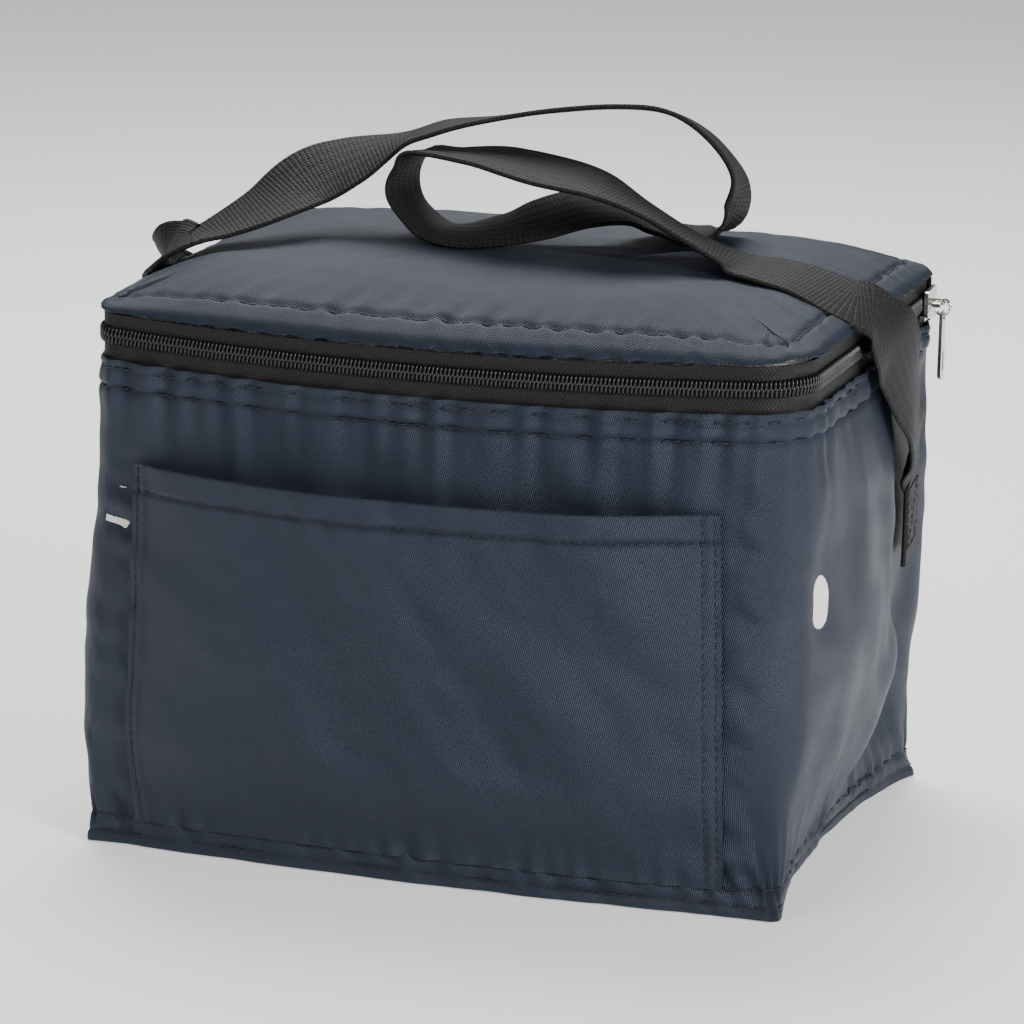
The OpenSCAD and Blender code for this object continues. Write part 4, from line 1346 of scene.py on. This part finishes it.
# ---------------------------------------------------------------- pocket
@dataclass
class Pocket:
    """The slip pocket on the front, hemmed at its mouth and sewn on three sides."""

    width: float = 175.0
    height: float = 112.0
    low: float = 7.6
    room: float = 6.0
    hem: float = 8.0
    sag: Ripple = Ripple(61, 30, 80, 50, 60, 16)
    fine: Ripple = Ripple(62, 10, 26, 60, 50, 24)
    gather: Ripple = Ripple(63, 9, 20, 0, 8, 16)

    def cloth(self, x: Array, z: Array) -> Array:
        """The pocket's face over a grid of distances across and heights, in mm."""
        gx, gz = np.meshgrid(x, z)
        depth = -SHAPE.half_depth(gz)
        sx, sy, sz = SHAPE.settle(gx, depth, gz)
        sx, sz = sx - 2.6 * gz / self.height, sz + 2.6 * ease((gz - 20) / 80)
        edge = 1 - np.abs(2 * gx / self.width) ** 4
        gap = 1.2 + self.room * edge * ease((gz - 8.5) / 26)
        inner = ease(edge * 3) * ease((gz - 10) / 14)
        d = 0.95 * self.sag.at(gx, gz) * inner + 0.22 * self.fine.at(gx, gz)
        d = d + 0.55 * np.exp(-(gz - self.low) / 8) * WallCloth().gather.at(gx, gz * 0)
        mouth = self.height - gz
        d = d - 0.55 * np.exp(-((mouth - self.hem)
                                / 0.8) ** 2) + 0.35 * (1 - ease((mouth - self.hem + 1) / 1.5))
        d = d + 0.4 * np.exp(-np.abs(mouth - self.hem) / 5) * self.gather.at(gx, gz * 0.2)
        side = self.width / 2 - np.abs(gx)
        for row in (1.5, 5.0):
            d = d - 0.4 * np.exp(-((side - row) / 0.7) ** 2)
        d = d + 0.45 * np.exp(-side / 9) * Ripple(64, 9, 22, 80, 10, 14).at(gx, gz)
        droop = 2.6 * np.cos(np.clip(gx / self.width, -0.5, 0.5) * math.pi) * ease((gz - 60) / 50)
        return np.stack([sx, sy - gap - d, sz - droop * 0.4], -1)

    def build(self, finishes: Finishes) -> None:
        """Makes the pocket, its folded hem and its rows of stitches."""
        x = np.linspace(-self.width / 2, self.width / 2, 190)
        z = np.concatenate([np.linspace(self.low, 30, 18), np.linspace(32, 98, 42),
                            np.linspace(99, self.height, 20)])
        points = self.cloth(x, z)
        lip = points[-1:] + np.array([0, 0.25, 0.35])
        points = np.concatenate([points, lip])
        cut = np.stack(np.meshgrid(x, np.append(z, self.height + 0.5)), -1)
        piece = cloth_grid("front_pocket_cloth", points, cut, 0.8)
        finish_piece(piece, Body.BAG, Slot.NYLON, finishes.nylon, "front_pocket")
        points = self.cloth(x[3:-3:2], np.linspace(self.height - self.hem, self.height - 0.3,
                                                   7)) + np.array([0, 1.15, 0])
        cut = np.stack(np.meshgrid(x[3:-3:2], np.linspace(0, self.hem, 7)), -1)
        fold = cloth_grid("pocket_hem_fold", points, cut, 0.6)
        finish_piece(fold, Body.BAG, Slot.NYLON, finishes.nylon, "pocket_hem")
        self.stitches(finishes)

    def stitches(self, finishes: Finishes) -> None:
        """Stitches along the hem and down both sides."""
        runs = [self.row(np.linspace(-84, 84, 200), np.array([self.height - self.hem]))]
        for side in (-1, 1):
            for inset in ((1.5,) if side < 0 else (1.5, 5.0)):
                runs.append(self.row(np.array([side * (self.width / 2 - inset)]),
                                     np.linspace(9, 111.5, 120)))
        piece = copies("pocket_thread", stitch_template(2.3, 0.55), np.concatenate(runs))
        finish_piece(piece, Body.BAG, Slot.THREAD, finishes.thread, "pocket_stitching")

    def row(self, x: Array, z: Array) -> Array:
        """Frames of a row of stitches across or up the pocket."""
        line = self.cloth(x, z).reshape(-1, 3) + np.array([0, -0.15, 0])
        line = even(line, 2.9)
        return surface_frames(line, np.tile([0.0, -1.0, 0.0], (len(line), 1)))


@dataclass
class WallStitching:
    """Rows of stitches round the rim and the hem."""

    def row(self, z: float, start: float = 0.0, end: float = LAP) -> Array:
        """Frames of a row of stitches at a height."""
        place = places(start, end, 12, 12, 6)
        three, _ = CLOTH.points(place, np.array([z - 0.5, z, z + 0.5]))
        out = normals(three)[1]
        both = even(np.concatenate([three[1] + out * 0.18, out], 1), 3.0)
        return surface_frames(both[:, :3], both[:, 3:])

    def build(self, finishes: Finishes) -> None:
        """Makes the rows."""
        rows = np.concatenate([self.row(z) for z in CLOTH.rim_rows])
        piece = copies("rim_thread", stitch_template(2.4, 0.58), rows)
        finish_piece(piece, Body.BAG, Slot.THREAD, finishes.thread, "rim_stitching")
        rows = np.concatenate([self.row(CLOTH.hem_row), self.row(3.2)])
        piece = copies("hem_thread", stitch_template(2.4, 0.58), rows)
        finish_piece(piece, Body.BAG, Slot.THREAD, finishes.thread, "hem_stitching")


# ---------------------------------------------------------------- inside
@dataclass
class Lining:
    """Foam, silver lining and bindings inside the walls and base."""

    inset: float = 4.6

    def build(self, finishes: Finishes) -> None:
        """Makes every inner layer."""
        place = places(0, LAP, 6, 6, 4)
        heights = np.linspace(8.8, 134.8, 30)
        for name, a, b in (("front", 10, 28), ("right", 28, 40), ("back", 40, 58),
                           ("left", 58, 70)):
            points, cut = layer(places(a, b, 5, 5, 4), heights, 1.4)
            foam = cloth_grid(f"foam_{name}_pad", points, cut, 2.8)
            finish_piece(foam, Body.BAG, Slot.FOAM, finishes.foam, f"foam_{name}")
        heights = np.linspace(5.8, 145.8, 50)
        points, cut = layer(place, heights, self.inset)
        wave = 0.12 * Ripple(71, 20, 60).at(cut[..., 0], cut[..., 1])
        points = points + normals(points) * wave[..., None]
        walls = cloth_grid("wall_lining_film", points, cut, 0.6, closed=True)
        finish_piece(walls, Body.BAG, Slot.LINER, finishes.liner, "wall_liner")
        self.floor_layer("foam_base_pad", 4.3, 4.1, 2.8, finishes.foam, Slot.FOAM, "foam_base")
        self.floor_layer("base_lining_film", 4.8, 5.2, 0.7, finishes.liner, Slot.LINER,
                         "base_liner")
        for name, low, high, node in (("rim", 137, 147, "inner_rim_binding"),
                                      ("base", 6, 10, "inner_base_binding")):
            points, cut = layer(place, np.linspace(low, high, 6), 5.6)
            bow = np.sin(np.linspace(0, math.pi, 6)) * 0.3
            points = points - normals(points) * bow[:, None, None]
            tape = cloth_grid(f"inner_{name}_tape", points, cut, 1.1, closed=True)
            finish_piece(tape, Body.BAG, Slot.BINDING, finishes.binding, node)

    def floor_layer(self, name: str, inset: float, top: float, thickness: float,
                    material: bpy.types.Material,
                    slot: Slot, node: str) -> None:
        """A flat layer of the base.

        Args:
            name: The piece's name.
            inset: How far in from the walls, in mm.
            top: Height of its top, in mm.
            thickness: Its thickness in mm.
            material: Its finish.
            slot: The record's slot.
            node: The CAD node it stands for.
        """
        place = places(0, LAP, 4, 5, 3)
        share = np.concatenate([[0.0], np.linspace(0.05, 0.98, 16), [1.0]])
        points = SHAPE.wall(place, np.full(len(place), 3.0), inset)[None] * (1 - share)[:, None,
                                                                                        None]
        points[..., 2] = top + 0.12 * Ripple(72, 20, 60).at(points[..., 0], points[..., 1])
        points[-1] = points[-1].mean(0)
        piece = cloth_grid(name, points, points[..., :2].copy(), thickness, closed=True, pole=True)
        finish_piece(piece, Body.BAG, slot, material, node)


# ---------------------------------------------------------------- slider
def dress_hardware(finishes: Finishes) -> None:
    """Gives the slider, its link and its tab their plated finish."""
    for node, body in (("zip_slider", Body.SLIDER), ("pull_link", Body.LINK),
                       ("pull_tab", Body.TAB)):
        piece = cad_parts[node]
        piece.data.materials.clear()
        piece.data.materials.append(finishes.nickel)
        log.info("%s: plated, on %s", node, body.value)


def main() -> None:
    """Builds the bag, piece by piece."""
    logging.basicConfig(level=logging.INFO, format="%(message)s")
    studio = Studio()
    studio.camera()
    finishes = Finishes()
    CarryStrap().build(finishes)
    Shell().build(finishes)
    WallStitching().build(finishes)
    ZipChain().build(finishes)
    Lid().build(finishes)
    Pocket().build(finishes)
    Lining().build(finishes)
    dress_hardware(finishes)
    studio.build()


if __name__ == "__main__":
    main()
